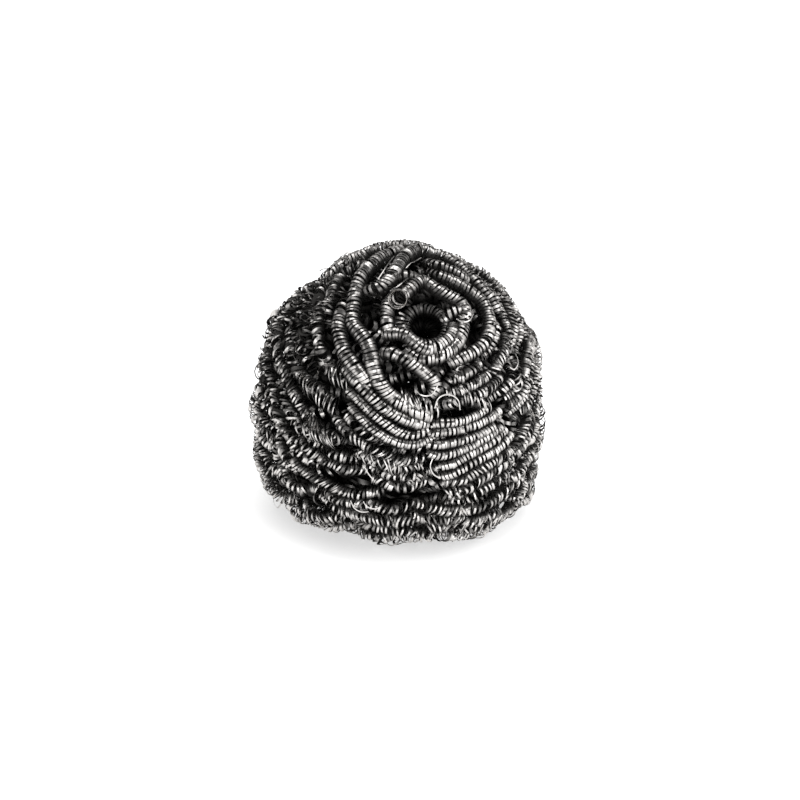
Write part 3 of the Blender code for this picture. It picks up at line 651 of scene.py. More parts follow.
class Winder:
    """Fills one layer of the ball with evenly spaced windings."""

    HEART_MARGIN = 0.0016
    BASE_MARGIN = 0.0048
    HELD_BACK = 0.008
    SEED_STRIDE = 0.003
    SEED_GAP = 0.96
    CELL_MARGIN = 1.3
    LENGTH_SHARES = (0.3, 1.0)
    SWELL_LENGTHS = (14.0, 26.0)
    SWELL_MIDDLES = (-0.6, 1.2)

    def __init__(
        self, ball: BallForm, heart: OpenHeart, flow: Flow, rule: WindingRule, rng: np.random.Generator,
        windings: list,
    ) -> None:
        """Start from windings that are already laid.

        Args:
            ball: The ball's outline.
            heart: The hollow to keep clear of.
            flow: Which way the strand runs.
            rule: Spacing and evenness.
            rng: Where lengths and heights come from.
            windings: What is already laid; grown in place.
        """
        self.ball = ball
        self.heart = heart
        self.flow = flow
        self.rule = rule
        self.rng = rng
        self.windings = windings
        self.crowd = Crowd(rule.spacing * self.CELL_MARGIN)
        for winding in windings:
            self.crowd.add(winding.points)

    def in_the_open(self, point: np.ndarray) -> bool:
        """Whether a point keeps clear of the open heart and of the base's middle.

        Args:
            point: A point on the resting surface.

        Returns:
            True where a winding may pass.
        """
        offset = point - self.ball.centre
        along = offset @ self.flow.swirl
        from_heart = math.sqrt(max(offset @ offset - along * along, 0.0))
        if self.rule.open_heart and along > 0.0 and from_heart < self.heart.radius + self.HEART_MARGIN:
            return False
        above_base = point[2] > self.ball.base_drop / 2
        return above_base or math.hypot(point[0], point[1]) > self.BASE_MARGIN

    def grow(self, crowd: TwoCrowds, start: np.ndarray, way: float, longest: float) -> list:
        """Walk from start along the flow until the way is blocked.

        Args:
            crowd: What to keep clear of.
            start: Where the walk begins.
            way: 1 with the flow, -1 against it.
            longest: How far the walk may go.

        Returns:
            The points walked, start left out.
        """
        step = self.rule.step
        walked: list = []
        point = start
        held_back = int(self.HELD_BACK / step)
        while len(walked) * step < longest:
            middle = point + self.flow.heading(point) * way * step / 2
            heading = self.flow.heading(middle)
            point = self.ball.settle((point + heading * way * step)[None])[0]
            if crowd.is_near(point, self.rule.closest) or not self.in_the_open(point):
                break
            walked.append(point)
            if len(walked) > held_back:
                crowd.add([walked[-held_back - 1]])
        crowd.add(walked[-held_back:])
        return walked

    def wind_from(self, seed: np.ndarray) -> Optional[Winding]:
        """Wind both ways from a seed point.

        Args:
            seed: A point on the resting surface.

        Returns:
            The winding, or None if it would be too short.
        """
        longest = self.rng.uniform(*self.LENGTH_SHARES) * self.rule.longest
        crowd = TwoCrowds(self.crowd)
        ahead = self.grow(crowd, seed, 1.0, longest / 2)
        behind = self.grow(crowd, seed, -1.0, longest / 2)
        points = np.array(behind[::-1] + [seed] + ahead)
        if len(points) * self.rule.step < self.rule.shortest:
            return None
        self.crowd.add(points)
        return self.tucked(points)

    def tucked(self, points: np.ndarray) -> Winding:
        """Give a winding its depth: its ends dive under its neighbours, and it rises and falls a little.

        Args:
            points: The winding's points on the resting surface.

        Returns:
            The winding with its depth at each point.
        """
        rule = self.rule
        from_end = np.minimum(np.arange(len(points)), np.arange(len(points))[::-1]) * rule.step
        depth = rule.tuck_depth * (1.0 - smoothstep(from_end / rule.tuck_length))
        phase = self.rng.uniform(0.0, FULL_TURN)
        length = self.rng.uniform(*self.SWELL_LENGTHS) * MM
        travelled = np.arange(len(points)) * rule.step
        swell = self.rng.uniform(*self.SWELL_MIDDLES) + np.sin(phase + travelled * FULL_TURN / length)
        return Winding(points, depth + rule.layer_depth + rule.unevenness * swell)

    def fill(self) -> list:
        """Wind beside what is there, on both sides, until no room is left.

        Returns:
            Every winding, those laid before with them.
        """
        waiting = list(self.windings)
        while waiting:
            beside = waiting.pop(0)
            headings = unit(np.gradient(beside.points, axis=0))
            sideways = np.cross(headings, self.ball.outward(beside.points))
            stride = max(1, int(self.SEED_STRIDE / self.rule.step))
            for way in (1.0, -1.0):
                offset = sideways[::stride] * way * self.rule.spacing
                for seed in self.ball.settle(beside.points[::stride] + offset):
                    crowded = self.crowd.is_near(seed, self.SEED_GAP * self.rule.spacing)
                    if crowded or not self.in_the_open(seed):
                        continue
                    winding = self.wind_from(seed)
                    if winding is not None:
                        self.windings.append(winding)
                        waiting.append(winding)
        return self.windings


@dataclass
class FlatWireCoil:
    """A spring of flat wire: its section, and how its turns are set."""

    MERGE_SHARE = 1e-3

    radius: float = 0.00158
    wire_width: float = 0.00054
    wire_thickness: float = 0.00016
    pitch: float = 0.00105
    steps: int = 16
    block_turns: int = 16
    _straight: Optional[bmesh.types.BMesh] = field(default=None, repr=False)
    _turns: int = 0

    def straight(self, turns: int) -> bmesh.types.BMesh:
        """A straight coil along +X with closed ends.

        Args:
            turns: How many turns it has.

        Returns:
            A new bmesh whose turns are one unit of X apart.
        """
        if turns > self._turns:
            self._lengthen(turns)
        coil = self._straight.copy()
        spare = [vertex for vertex in coil.verts if vertex.co.x > turns + self.wire_width / self.pitch]
        bmesh.ops.delete(coil, geom=spare, context="VERTS")
        rims = [edge for edge in coil.edges if edge.is_boundary]
        bmesh.ops.holes_fill(coil, edges=rims, sides=0)
        bmesh.ops.recalc_face_normals(coil, faces=coil.faces)
        return coil

    def _lengthen(self, turns: int) -> None:
        """Spin a block of turns and repeat it until there are enough.

        Args:
            turns: How many turns are needed.
        """
        coil = bmesh.new()
        half = self.wire_width / self.pitch / 2
        corners = [
            coil.verts.new((-half, 0.0, self.radius)),
            coil.verts.new((half, 0.0, self.radius)),
            coil.verts.new((0.0, 0.0, self.radius - self.wire_thickness)),
        ]
        following = corners[1:] + corners[:1]
        sides = [coil.edges.new((first, second)) for first, second in zip(corners, following)]
        bmesh.ops.spin(
            coil,
            geom=corners + sides,
            cent=(0.0, 0.0, 0.0),
            axis=(1.0, 0.0, 0.0),
            dvec=(1.0 / self.steps, 0.0, 0.0),
            angle=FULL_TURN * self.block_turns,
            steps=self.steps * self.block_turns,
        )
        made = self.block_turns
        while made < turns + 1:
            copied = bmesh.ops.duplicate(coil, geom=coil.verts[:] + coil.edges[:] + coil.faces[:])
            moved = [part for part in copied["geom"] if isinstance(part, bmesh.types.BMVert)]
            bmesh.ops.translate(coil, vec=(made, 0.0, 0.0), verts=moved)
            bmesh.ops.remove_doubles(coil, verts=coil.verts, dist=self.radius * self.MERGE_SHARE)
            made *= 2
        self._straight = coil
        self._turns = made - 1


@dataclass(frozen=True)
class Looseness:
    """How unruly a stretch of spring is, as shares of its radius or in degrees."""

    pitch: float = 1.0
    pitch_swing: float = 0.25
    lean: float = 10.0
    lean_jitter: float = 5.0
    lean_across: float = 0.0
    radius_jitter: float = 0.05
    shift_jitter: float = 0.05
    twist: float = 0.2
    popped_share: float = 0.01
    popped_size: float = 0.35
    # Share of a turn's light that may be taken away at random: a painted shade for turns tilted from the
    # lamps
    painted_turn_dimming: float = 0.30

    def towards(self, other: "Looseness", share: float) -> "Looseness":
        """A blend with another looseness.

        Args:
            other: The other one.
            share: How far to go towards it, from 0 to 1.

        Returns:
            The blend.
        """
        names = self.__dataclass_fields__
        mixed = {name: getattr(self, name) * (1 - share) + getattr(other, name) * share for name in names}
        return Looseness(**mixed)


# Four kinds of turn: close ones, sprung apart ones, long thin arcs, and a tangle. Each darkens some of its
# turns at random, a painted shade that is strongest in the tangle.
TIGHT = Looseness(pitch=0.88, pitch_swing=0.12, lean=8.0, lean_jitter=3.0, radius_jitter=0.025,
                  shift_jitter=0.025, twist=0.16, popped_share=0.0, popped_size=0.2)
SPLAYED = Looseness(pitch=1.18, pitch_swing=0.40, lean=28.0, lean_jitter=10.0, radius_jitter=0.06,
                    shift_jitter=0.08, twist=0.45, popped_share=0.02, popped_size=0.35, painted_turn_dimming=0.5)
FANNED = Looseness(pitch=1.0, pitch_swing=0.35, lean=7.0, lean_jitter=5.0, lean_across=34.0,
                   radius_jitter=0.10, shift_jitter=0.08, twist=0.3, popped_share=0.0, popped_size=0.2)
TANGLED = Looseness(pitch=1.25, pitch_swing=0.55, lean=26.0, lean_jitter=24.0, lean_across=12.0,
                    radius_jitter=0.16, shift_jitter=0.14, twist=1.0, popped_share=0.03, popped_size=0.35,
                    painted_turn_dimming=0.85)


@dataclass(frozen=True)
class FlatWire:
    """One flat wire on its own: its section."""

    width: float = 0.00024
    thickness: float = 0.00010

    def along(self, line: np.ndarray, normals: np.ndarray) -> bpy.types.Mesh:
        """Lay the wire flat along a line.

        Args:
            line: Points along its middle.
            normals: The outward direction at each of them.

        Returns:
            The wire's mesh, closed all round.
        """
        sheet = bmesh.new()
        bmesh.ops.create_grid(sheet, x_segments=len(line) - 1, y_segments=1, size=0.5)
        sideways = unit(np.cross(unit(np.gradient(line, axis=0)), normals))
        places = np.arange(len(line))
        for vertex in sheet.verts:
            at = (vertex.co.x + 0.5) * (len(line) - 1)
            middle = [np.interp(at, places, line[:, axis]) for axis in range(3)]
            side = [np.interp(at, places, sideways[:, axis]) for axis in range(3)]
            vertex.co = Vector(middle) + Vector(side) * vertex.co.y * self.width
        bmesh.ops.solidify(sheet, geom=sheet.faces[:], thickness=self.thickness)
        bmesh.ops.recalc_face_normals(sheet, faces=sheet.faces)
        mesh = bpy.data.meshes.new("loose_wire")
        sheet.to_mesh(mesh)
        sheet.free()
        return mesh


class SpringLayer:
    """Lays the spring along windings and joins them into pieces."""

    FLOOR_SOFTNESS = 0.0006
    FEWEST_TURNS = 2
    LEAN_LIMIT = 42.0
    LEAN_SPAN = 9.0
    GAP_SPAN = 3.0
    GAP_LIMITS = (0.55, 2.4)
    GUESS_MARGIN = 2.2
    GUESS_SPARE = 8
    POPPED_SIZES = (0.5, 1.3)
    POPPED_OUT = 0.25
    # How far the lit side of the painted shade leans up, towards lamps above
    LIGHT_FROM_ABOVE = 0.35

    def __init__(self, ball: BallForm, rng: np.random.Generator) -> None:
        """Keep what every stretch needs.

        Args:
            ball: The ball's outline.
            rng: Where the unevenness of the turns comes from.
        """
        self.ball = ball
        self.rng = rng
        self.turns_laid = 0

    def slow_noise(self, count: int, span: float) -> np.ndarray:
        """Smooth random values from about -1 to 1.

        Args:
            count: How many, one for each turn.
            span: How many turns the values take to change.

        Returns:
            The values in order.
        """
        knots = max(4, int(count / span) + 3)
        values = self.rng.normal(size=knots)
        return np.interp(np.linspace(0.0, knots - 1.0, count), np.arange(knots), values)

    def leans(self, count: int, looseness: Looseness, leaning: float = 0.0) -> np.ndarray:
        """How far each turn leans along the strand.

        Args:
            count: How many turns there are.
            looseness: How unruly they are.
            leaning: The mean lean, in degrees.

        Returns:
            For each turn, metres along the strand for each metre across it.
        """
        degrees = leaning + looseness.lean * self.slow_noise(count, self.LEAN_SPAN)
        degrees = degrees + looseness.lean_jitter * self.rng.normal(size=count)
        return np.tan(np.radians(np.clip(degrees, -self.LEAN_LIMIT, self.LEAN_LIMIT)))

    def turn_stops(self, length: float, pitch: float, looseness: Looseness) -> np.ndarray:
        """Where along the strand each turn begins.

        Args:
            length: The strand's length.
            pitch: The spring's own pitch.
            looseness: How unruly the turns are.

        Returns:
            Distances from the strand's start, in order.
        """
        guess = int(length / (pitch * looseness.pitch) * self.GUESS_MARGIN) + self.GUESS_SPARE
        swing = 1.0 + looseness.pitch_swing * self.slow_noise(guess, self.GAP_SPAN)
        gaps = pitch * looseness.pitch * np.clip(swing, *self.GAP_LIMITS)
        stops = np.concatenate(((0.0,), np.cumsum(gaps)))
        return stops[stops < length]

    def lay(self, coil: FlatWireCoil, line: np.ndarray, normals: np.ndarray, looseness: Looseness,
            widths: Optional[np.ndarray] = None) -> Optional[bpy.types.Mesh]:
        """Bend a straight coil along a line.

        Args:
            coil: The spring to lay.
            line: Points along the strand's middle.
            normals: The outward direction at each of them.
            looseness: How unruly the turns are.
            widths: The spring's size at each point, as a share of its own; None for even.

        Returns:
            The mesh of this stretch, or None if it is too short for a turn.
        """
        travelled = np.concatenate(((0.0,), np.cumsum(np.linalg.norm(np.diff(line, axis=0), axis=1))))
        stops = self.turn_stops(travelled[-1], coil.pitch, looseness)
        turns = len(stops) - 1
        if turns < self.FEWEST_TURNS:
            return None
        self.turns_laid += turns
        tangents = unit(np.gradient(line, axis=0))
        across = unit(np.cross(tangents, normals))
        out = np.cross(across, tangents)
        sheet = coil.straight(turns)
        mesh = bpy.data.meshes.new("stretch")
        sheet.to_mesh(mesh)
        sheet.free()
        flat = np.empty(len(mesh.vertices) * 3)
        mesh.vertices.foreach_get("co", flat)
        spots = flat.reshape(-1, 3)
        angle = np.arctan2(spots[:, 1], spots[:, 2])
        turn = np.round(spots[:, 0] + angle / FULL_TURN) - angle / FULL_TURN
        in_wire = (spots[:, 0] - turn) * coil.pitch
        per_turn = np.arange(turns + 1)

        def at_turn(values: np.ndarray) -> np.ndarray:
            """Values given for each turn, read off at each vertex."""
            return np.interp(turn, per_turn, values)

        count = turns + 1
        size = 1.0 + looseness.radius_jitter * self.rng.normal(size=count)
        popped = self.rng.random(count) < looseness.popped_share
        size = size + popped * looseness.popped_size * self.rng.uniform(*self.POPPED_SIZES, count)
        lean_out = self.leans(count, looseness)
        lean_side = self.leans(count, looseness, looseness.lean_across)
        shift_out = looseness.shift_jitter * self.rng.normal(size=count) + popped * self.POPPED_OUT
        shift_side = looseness.shift_jitter * self.rng.normal(size=count)
        twist = looseness.twist * self.rng.normal(size=count)
        reach = np.hypot(spots[:, 1], spots[:, 2]) * at_turn(size) + in_wire * at_turn(twist)
        place = at_turn(stops)
        if widths is not None:
            reach = reach * np.interp(place, travelled, widths)
        rise = reach * np.cos(angle) + coil.radius * at_turn(shift_out)
        sway = reach * np.sin(angle) + coil.radius * at_turn(shift_side)
        place = place + in_wire + rise * at_turn(lean_out) + sway * at_turn(lean_side)

        def along(values: np.ndarray) -> np.ndarray:
            """Rows given for each point of the line, read off at each vertex."""
            return np.stack([np.interp(place, travelled, values[:, axis]) for axis in range(3)], axis=1)

        beyond = place - np.clip(place, 0.0, travelled[-1])
        middle = along(line) + unit(along(tangents)) * beyond[:, None]
        spots = middle + unit(along(out)) * rise[:, None] + unit(along(across)) * sway[:, None]
        soft = self.FLOOR_SOFTNESS
        low = spots[:, 2] < soft
        spots[low, 2] = soft * np.exp((spots[low, 2] - soft) / soft)
        mesh.vertices.foreach_set("co", spots.ravel())
        # Painted shade, set later from this: the flanks and underside of each turn, turned from the light
        # above, and some turns dimmed at random as if tilted from the lamps
        bright = at_turn(1.0 - looseness.painted_turn_dimming * self.rng.random(count) ** 2)
        radial = unit(along(out)) * np.cos(angle)[:, None] + unit(along(across)) * np.sin(angle)[:, None]
        lit_side = unit(unit(along(out)) + self.LIGHT_FROM_ABOVE * UP)
        facing = mesh.attributes.new(FACING, "FLOAT", "POINT")
        facing.data.foreach_set("value", (np.sum(radial * lit_side, axis=1) * bright).astype(np.float32))
        return mesh

    def middle_of(self, winding: Winding) -> np.ndarray:
        """The strand's own centre line, kept up where it rests on the base.

        Args:
            winding: The winding that the strand follows.

        Returns:
            A point for each of the winding's.
        """
        directions = unit(winding.points - self.ball.centre)
        line = winding.points - directions * winding.depth[:, None]
        line[:, 2] = np.maximum(line[:, 2], self.ball.strand_radius - self.ball.base_flat)
        return line


@dataclass(frozen=True)
class DrawnSteel:
    """Bright drawn stainless wire with a fine grain, with painted shade: darker and duller where the
    windings shade it.
    """

    colour: tuple = (0.66, 0.64, 0.62, 1.0)
    shaded_colour: tuple = (0.022, 0.021, 0.020, 1.0)
    edge_tint: tuple = (0.55, 0.54, 0.53, 1.0)
    roughness: float = 0.23
    roughness_swing: float = 0.12
    shaded_roughness: float = 0.66
    bump: float = 0.12
    grain_scale: float = 900.0
    grain_detail: float = 3.0
    grain_depth: float = 0.00005

    def material(self, name: str) -> bpy.types.Material:
        """The finish as a material.

        Args:
            name: The material's name.

        Returns:
            A new material, which reads each piece's painted shade from its own attribute.
        """
        material = bpy.data.materials.new(name)
        material.use_nodes = True
        nodes = material.node_tree.nodes
        links = material.node_tree.links
        shader = nodes["Principled BSDF"]
        shader.inputs["Metallic"].default_value = 1.0
        shader.inputs["Specular Tint"].default_value = self.edge_tint
        # Painted shade: the base colour goes to near black as the shade attribute rises
        depth = nodes.new("ShaderNodeAttribute")
        depth.attribute_name = SHADED
        mix = nodes.new("ShaderNodeMix")
        mix.data_type = "RGBA"
        mix.inputs["A"].default_value = self.colour
        mix.inputs["B"].default_value = self.shaded_colour
        links.new(depth.outputs["Fac"], mix.inputs["Factor"])
        links.new(mix.outputs["Result"], shader.inputs["Base Color"])
        place = nodes.new("ShaderNodeTexCoord")
        grain = nodes.new("ShaderNodeTexNoise")
        grain.inputs["Scale"].default_value = self.grain_scale
        grain.inputs["Detail"].default_value = self.grain_detail
        links.new(place.outputs["Object"], grain.inputs["Vector"])
        spread = nodes.new("ShaderNodeMapRange")
        spread.inputs["To Min"].default_value = self.roughness - self.roughness_swing / 2
        spread.inputs["To Max"].default_value = self.roughness + self.roughness_swing / 2
        links.new(grain.outputs["Fac"], spread.inputs["Value"])
        # The roughness rises with the painted shade
        shade_roughened = nodes.new("ShaderNodeMix")
        shade_roughened.data_type = "FLOAT"
        shade_roughened.inputs["B"].default_value = self.shaded_roughness
        links.new(depth.outputs["Fac"], shade_roughened.inputs["Factor"])
        links.new(spread.outputs["Result"], shade_roughened.inputs["A"])
        links.new(shade_roughened.outputs["Result"], shader.inputs["Roughness"])
        bump = nodes.new("ShaderNodeBump")
        bump.inputs["Strength"].default_value = self.bump
        bump.inputs["Distance"].default_value = self.grain_depth
        links.new(grain.outputs["Fac"], bump.inputs["Height"])
        links.new(bump.outputs["Normal"], shader.inputs["Normal"])
        return material


class SteelWoolRoll:
    """The whole roll: routes, layers and the pieces that show them."""

    STRAND_STEP = 0.0007
    LOOP_SIZE = 1.12
    THICK_SIZE = 1.26
    ROW_SIZE = 0.84
    ROWS = ("right_row", "necklace", "under_necklace")
    THICK_LOOPS = ("top_edge", "second_edge", "left_pair", "over_the_crown")
    TANGLE_MIDDLE = (-28.0, 12.0)
    TANGLE_REACH = (13.0, 17.0)
    TANGLE_FADE = 1.5
    HAND_WILDNESS = 0.12
    HEART_WILDNESS = 0.7
    EDGE_WILDNESS = 0.3
    LOW_WILDNESS = 0.85
    CALM_GAIN = 0.5
    CALM_FROM = 0.034
    CALM_SPAN = 0.022
    BASE_BELOW = 0.012
    BACK_BEYOND = 0.008
    SPLIT_HEIGHT = 0.030
    MOUTH_STEP = 0.0004
    MOUTH_FLARE = 0.55
    MOUTH_FLARE_SPAN = 1.6
    STRAY_SUNK = 1.6
    STRAY_POINTS = 12
    STRAY_LENGTH = 0.005
    STRAY_CLEARANCE = 0.0026
    WIRE_STEP = 0.0005
    MOUTH_REACH = 0.0036
    RIM_ANGLE = math.radians(75.0)
    SHADE_FROM = 0.0020
    SHADE_FULL = 0.0072
    FLANK_FROM = 0.97
    FLANK_FULL = 0.34
    FLANK_SHADE = 0.96

    def __init__(self, ball: BallForm, sight: SightLine, heart: OpenHeart) -> None:
        """Keep the forms that every layer follows.

        Args:
            ball: The ball's outline.
            sight: The line of sight of the sketches.
            heart: The hollow at the middle of the swirl.
        """
        self.ball = ball
        self.sight = sight
        self.heart = heart
        self.steel = DrawnSteel().material("drawn_steel_wire")
        self.springs = SpringLayer(ball, np.random.default_rng(77))
        self.outer_coil = FlatWireCoil(wire_width=0.00060)
        self.flank_coil = FlatWireCoil(radius=0.00150, wire_width=0.00046, pitch=0.00090, steps=14)
        self.fine_coil = FlatWireCoil(radius=0.00140, wire_width=0.00034, pitch=0.00075, steps=14)
        self.inner_coil = FlatWireCoil(wire_width=0.00070, pitch=0.00135, steps=10)
        # Wide ribbons, so that the floor behind doesn't show through the ball; they lie deep in the painted
        # shade, which makes them nearly black.
        self.deep_coil = FlatWireCoil(wire_width=0.00130, pitch=0.0018, steps=8)
        self.sheets: dict = {}
        self.facings: dict = {}

    def hand_laid(self) -> list:
        """The crown's loops, the base's middle and the heart's spiral.

        Returns:
            One winding for each.
        """
        windings = []
        for name, route in CROWN_LOOPS.items():
            windings.append(self.on_sketch(route, self.STRAND_STEP, name))
        floor = np.array([(x * MM, y * MM, 0.0) for x, y in BASE_HEART])
        curve = smooth_route(floor, self.STRAND_STEP)
        windings.append(Winding(self.ball.settle(curve), np.zeros(len(curve)), "base_heart"))
        windings.append(self.heart.spiral(self.ball, self.sight))
        return windings

    def wind(self, rule: WindingRule, laid: list) -> list:
        """Wind one whole layer round what is already laid.

        Args:
            rule: How the layer is wound.
            laid: The windings laid before, which may be none.

        Returns:
            Every winding of the layer.
        """
        rng = np.random.default_rng(rule.seed)
        swirl = self.heart.axis(self.ball, self.sight)
        flow = Flow(self.ball, swirl, list(laid), rng, rule.cross_angle)
        start = laid
        if not laid:
            first = self.ball.settle(self.ball.centre + np.array([[-1.0, 0.0, 0.1]]))[0]
            stub = np.stack((first, first + flow.heading(first) * rule.step))
            start = [Winding(stub, np.zeros(2), "seed")]
        windings = Winder(self.ball, self.heart, flow, rule, rng, start).fill()
        return [winding for winding in windings if winding.name != "seed"]

    def region_of(self, line: np.ndarray, hand_laid: bool) -> Region:
        """The group that a winding belongs to, by its middle.

        Args:
            line: The winding's middle line.
            hand_laid: Whether it was laid along a given route.

        Returns:
            Its region.
        """
        middle = line[len(line) // 2]
        if hand_laid:
            return Region.CROWN
        if middle[2] < self.BASE_BELOW:
            return Region.BASE
        if middle[1] > self.BACK_BEYOND:
            return Region.BACK
        return Region.LEFT if middle[0] < 0.0 else Region.RIGHT

    def tangle_at(self, line: np.ndarray) -> float:
        """How tangled a winding is, which is most at the upper left; its tangled turns take more painted
        shade there.

        Args:
            line: The winding's middle line.

        Returns:
            From 0 for none to 1 for all of it.
        """
        offset = line - self.sight.aim
        places = np.stack((offset @ self.sight.right, offset @ self.sight.up), axis=1) / MM
        away = np.linalg.norm((places - np.array(self.TANGLE_MIDDLE)) / np.array(self.TANGLE_REACH), axis=1)
        in_front = offset @ (self.sight.eye - self.sight.aim) > 0.0
        return float(np.mean(in_front * smoothstep(self.TANGLE_FADE - away)))

    def size_of(self, name: str) -> float:
        """The spring's size along a given loop.

        Args:
            name: The loop's name.

        Returns:
            The size as a share of the spring's own.
        """
        if name.startswith(self.ROWS):
            return self.ROW_SIZE
        return self.THICK_SIZE if name in self.THICK_LOOPS else self.LOOP_SIZE

    def add_stretch(self, region: Region, mesh: Optional[bpy.types.Mesh]) -> None:
        """Join one stretch to its region's piece.

        Args:
            region: The region.
            mesh: The stretch, or None for one too short to have turns.
        """
        if mesh is None:
            return
        facing = np.ones(len(mesh.vertices), dtype=np.float32)
        known = mesh.attributes.get(FACING)
        if known is not None:
            known.data.foreach_get("value", facing)
            mesh.attributes.remove(known)
        self.facings.setdefault(region, []).append(facing)
        sheet = self.sheets.setdefault(region, bmesh.new())
        sheet.from_mesh(mesh)
        bpy.data.meshes.remove(mesh)

    def lay_outer(self) -> None:
        """The outer layer, tight along the given loops and splayed elsewhere."""
        laid = self.hand_laid()
        hand_count = len(laid)
        windings = self.wind(WindingRule(seed=41, spacing=0.0031, closest=0.0023), laid)
        for index, winding in enumerate(windings):
            by_hand = index < hand_count
            line = self.springs.middle_of(winding)
            height = line[:, 2].mean()
            calm = self.CALM_GAIN * float(smoothstep((height - self.CALM_FROM) / self.CALM_SPAN))
            wildness = self.HAND_WILDNESS if by_hand else self.LOW_WILDNESS - calm
            if winding.name == "base_heart":
                wildness = self.HEART_WILDNESS
            looseness = TIGHT.towards(SPLAYED, wildness)
            if not by_hand:
                looseness = looseness.towards(TANGLED, self.tangle_at(line))
            widths = np.full(len(line), self.size_of(winding.name)) if by_hand else None
            coil = self.outer_coil if by_hand else self.flank_coil
            mesh = self.springs.lay(coil, line, self.ball.outward(line), looseness, widths)
            self.add_stretch(self.region_of(line, by_hand), mesh)
        log.info("%s layer: %d windings, %d laid by hand", Layer.OUTER.value, len(windings), hand_count)

    def lay_free_end(self) -> None:
        """The free end's open mouth and the neck behind it."""
        line = self.line_on_sketch(MOUTH_ROUTE, self.MOUTH_STEP)
        along = np.linspace(0.0, self.MOUTH_FLARE_SPAN, len(line))
        widths = 1.0 + self.MOUTH_FLARE * (1.0 - smoothstep(along))
        coil = FlatWireCoil(pitch=0.00078, steps=28, wire_width=0.0005)
        mesh = self.springs.lay(coil, line, self.ball.outward(line), TIGHT, widths)
        flat = np.empty(len(mesh.vertices) * 3)
        mesh.vertices.foreach_get("co", flat)
        from_mouth = np.linalg.norm(flat.reshape(-1, 3) - line[0], axis=1)
        facing = np.empty(len(mesh.vertices), dtype=np.float32)
        mesh.attributes[FACING].data.foreach_get("value", facing)
        # No painted flank shade near the mouth, so that its rings stay bright
        facing[from_mouth < self.MOUTH_REACH] = 1.0
        mesh.attributes[FACING].data.foreach_set("value", facing)
        self.add_stretch(Region.CROWN, mesh)

    def lay_strays(self) -> None:
        """Loose turns that stand out of the ball's outline."""
        coil = FlatWireCoil(radius=0.0020, pitch=0.0016, steps=26, wire_width=0.00030)
        for place in STRAY_TURNS:
            seat = self.ball.lay_from_eye(self.sight, [place])[0]
            normal = self.ball.outward(seat[None])[0]
            side = unit(np.cross(normal, unit(self.sight.eye - seat)))
            middle = seat + normal * (place[2] - self.STRAY_SUNK) * MM
            share = np.linspace(-0.5, 0.5, self.STRAY_POINTS)[:, None]
            line = middle + side * share * self.STRAY_LENGTH
            line[:, 2] = np.maximum(line[:, 2], self.STRAY_CLEARANCE)
            normals = np.repeat(normal[None], len(line), axis=0)
            self.add_stretch(Region.CROWN, self.springs.lay(coil, line, normals, SPLAYED))

    def on_sketch(self, route: Sequence, spacing: float, name: str = "sketched") -> Winding:
        """A winding laid on the ball through sketch points.

        Args:
            route: Points of mm across, mm up and mm proud of where a strand rests.
            spacing: The distance between the winding's points.
            name: The winding's name.

        Returns:
            The winding.
        """
        sketch = np.array(route)
        laid = self.ball.lay_from_eye(self.sight, sketch)
        curve = smooth_route(np.hstack((laid, sketch[:, 2:3] * MM)), spacing)
        return Winding(self.ball.settle(curve[:, :3]), -curve[:, 3], name)

    def line_on_sketch(self, route: Sequence, spacing: float) -> np.ndarray:
        """The middle line of a winding laid through sketch points.

        Args:
            route: Points of mm across, mm up and mm proud of where a strand rests.
            spacing: The distance between the line's points.

        Returns:
            The line's points.
        """
        return self.springs.middle_of(self.on_sketch(route, spacing))

    def lay_loose_wires(self) -> None:
        """Single wires over the windings, and stretches whose turns have come apart."""
        wire = FlatWire()
        for route in LOOSE_WIRES:
            line = self.line_on_sketch(route, self.WIRE_STEP)
            self.add_stretch(Region.CROWN, wire.along(line, self.ball.outward(line)))
        coil = FlatWireCoil(radius=0.0022, pitch=0.00086, steps=22, wire_width=0.00030)
        for route in FANNED_STRETCHES:
            line = self.line_on_sketch(route, self.STRAND_STEP)
            self.add_stretch(Region.CROWN, self.springs.lay(coil, line, self.ball.outward(line), FANNED))
        piled = (
            (self.outer_coil, TIGHT.towards(SPLAYED, self.EDGE_WILDNESS), EDGE_STRETCHES),
            (self.flank_coil, SPLAYED, SPLAYED_STRETCHES),
            (self.fine_coil, TANGLED, TANGLED_STRETCHES),
        )
        for coil, looseness, routes in piled:
            for route in routes:
                line = self.line_on_sketch(route, self.STRAND_STEP)
                turns = self.springs.lay(coil, line, self.ball.outward(line), looseness)
                self.add_stretch(Region.CROWN, turns)

    def lay_inner(self, layer: Layer, coil: FlatWireCoil, rule: WindingRule) -> None:
        """Lay a layer under the outer one, which shows through its gaps.

        Args:
            layer: Which layer it is.
            coil: The spring it is wound from.
            rule: How it is wound.
        """
        windings = self.wind(rule, [])
        for winding in windings:
            line = self.springs.middle_of(winding)
            mesh = self.springs.lay(coil, line, self.ball.outward(line), SPLAYED)
            region = Region.DEEP
            if layer is Layer.SECOND:
                high = line[len(line) // 2][2] > self.SPLIT_HEIGHT
                region = Region.SECOND_UPPER if high else Region.SECOND_LOWER
            self.add_stretch(region, mesh)
        log.info("%s layer: %d windings", layer.value, len(windings))

    def shading(self, spots: np.ndarray, facing: np.ndarray) -> np.ndarray:
        """The painted shade: how much of the light a point loses to the turns and windings around it, set
        in its colour.

        Args:
            spots: The points.
            facing: The cosine of each one's angle round its strand from the side lit from above, dimmed at
                random for some turns.

        Returns:
            From 0 in the open to 1 in full painted shade.
        """
        below = self.ball.below_crests(spots)
        deep = smoothstep((below - self.SHADE_FROM) / (self.SHADE_FULL - self.SHADE_FROM))
        turned = smoothstep((self.FLANK_FROM - facing) / (self.FLANK_FROM - self.FLANK_FULL))
        return (1.0 - (1.0 - deep) * (1.0 - self.FLANK_SHADE * turned)).astype(np.float32)

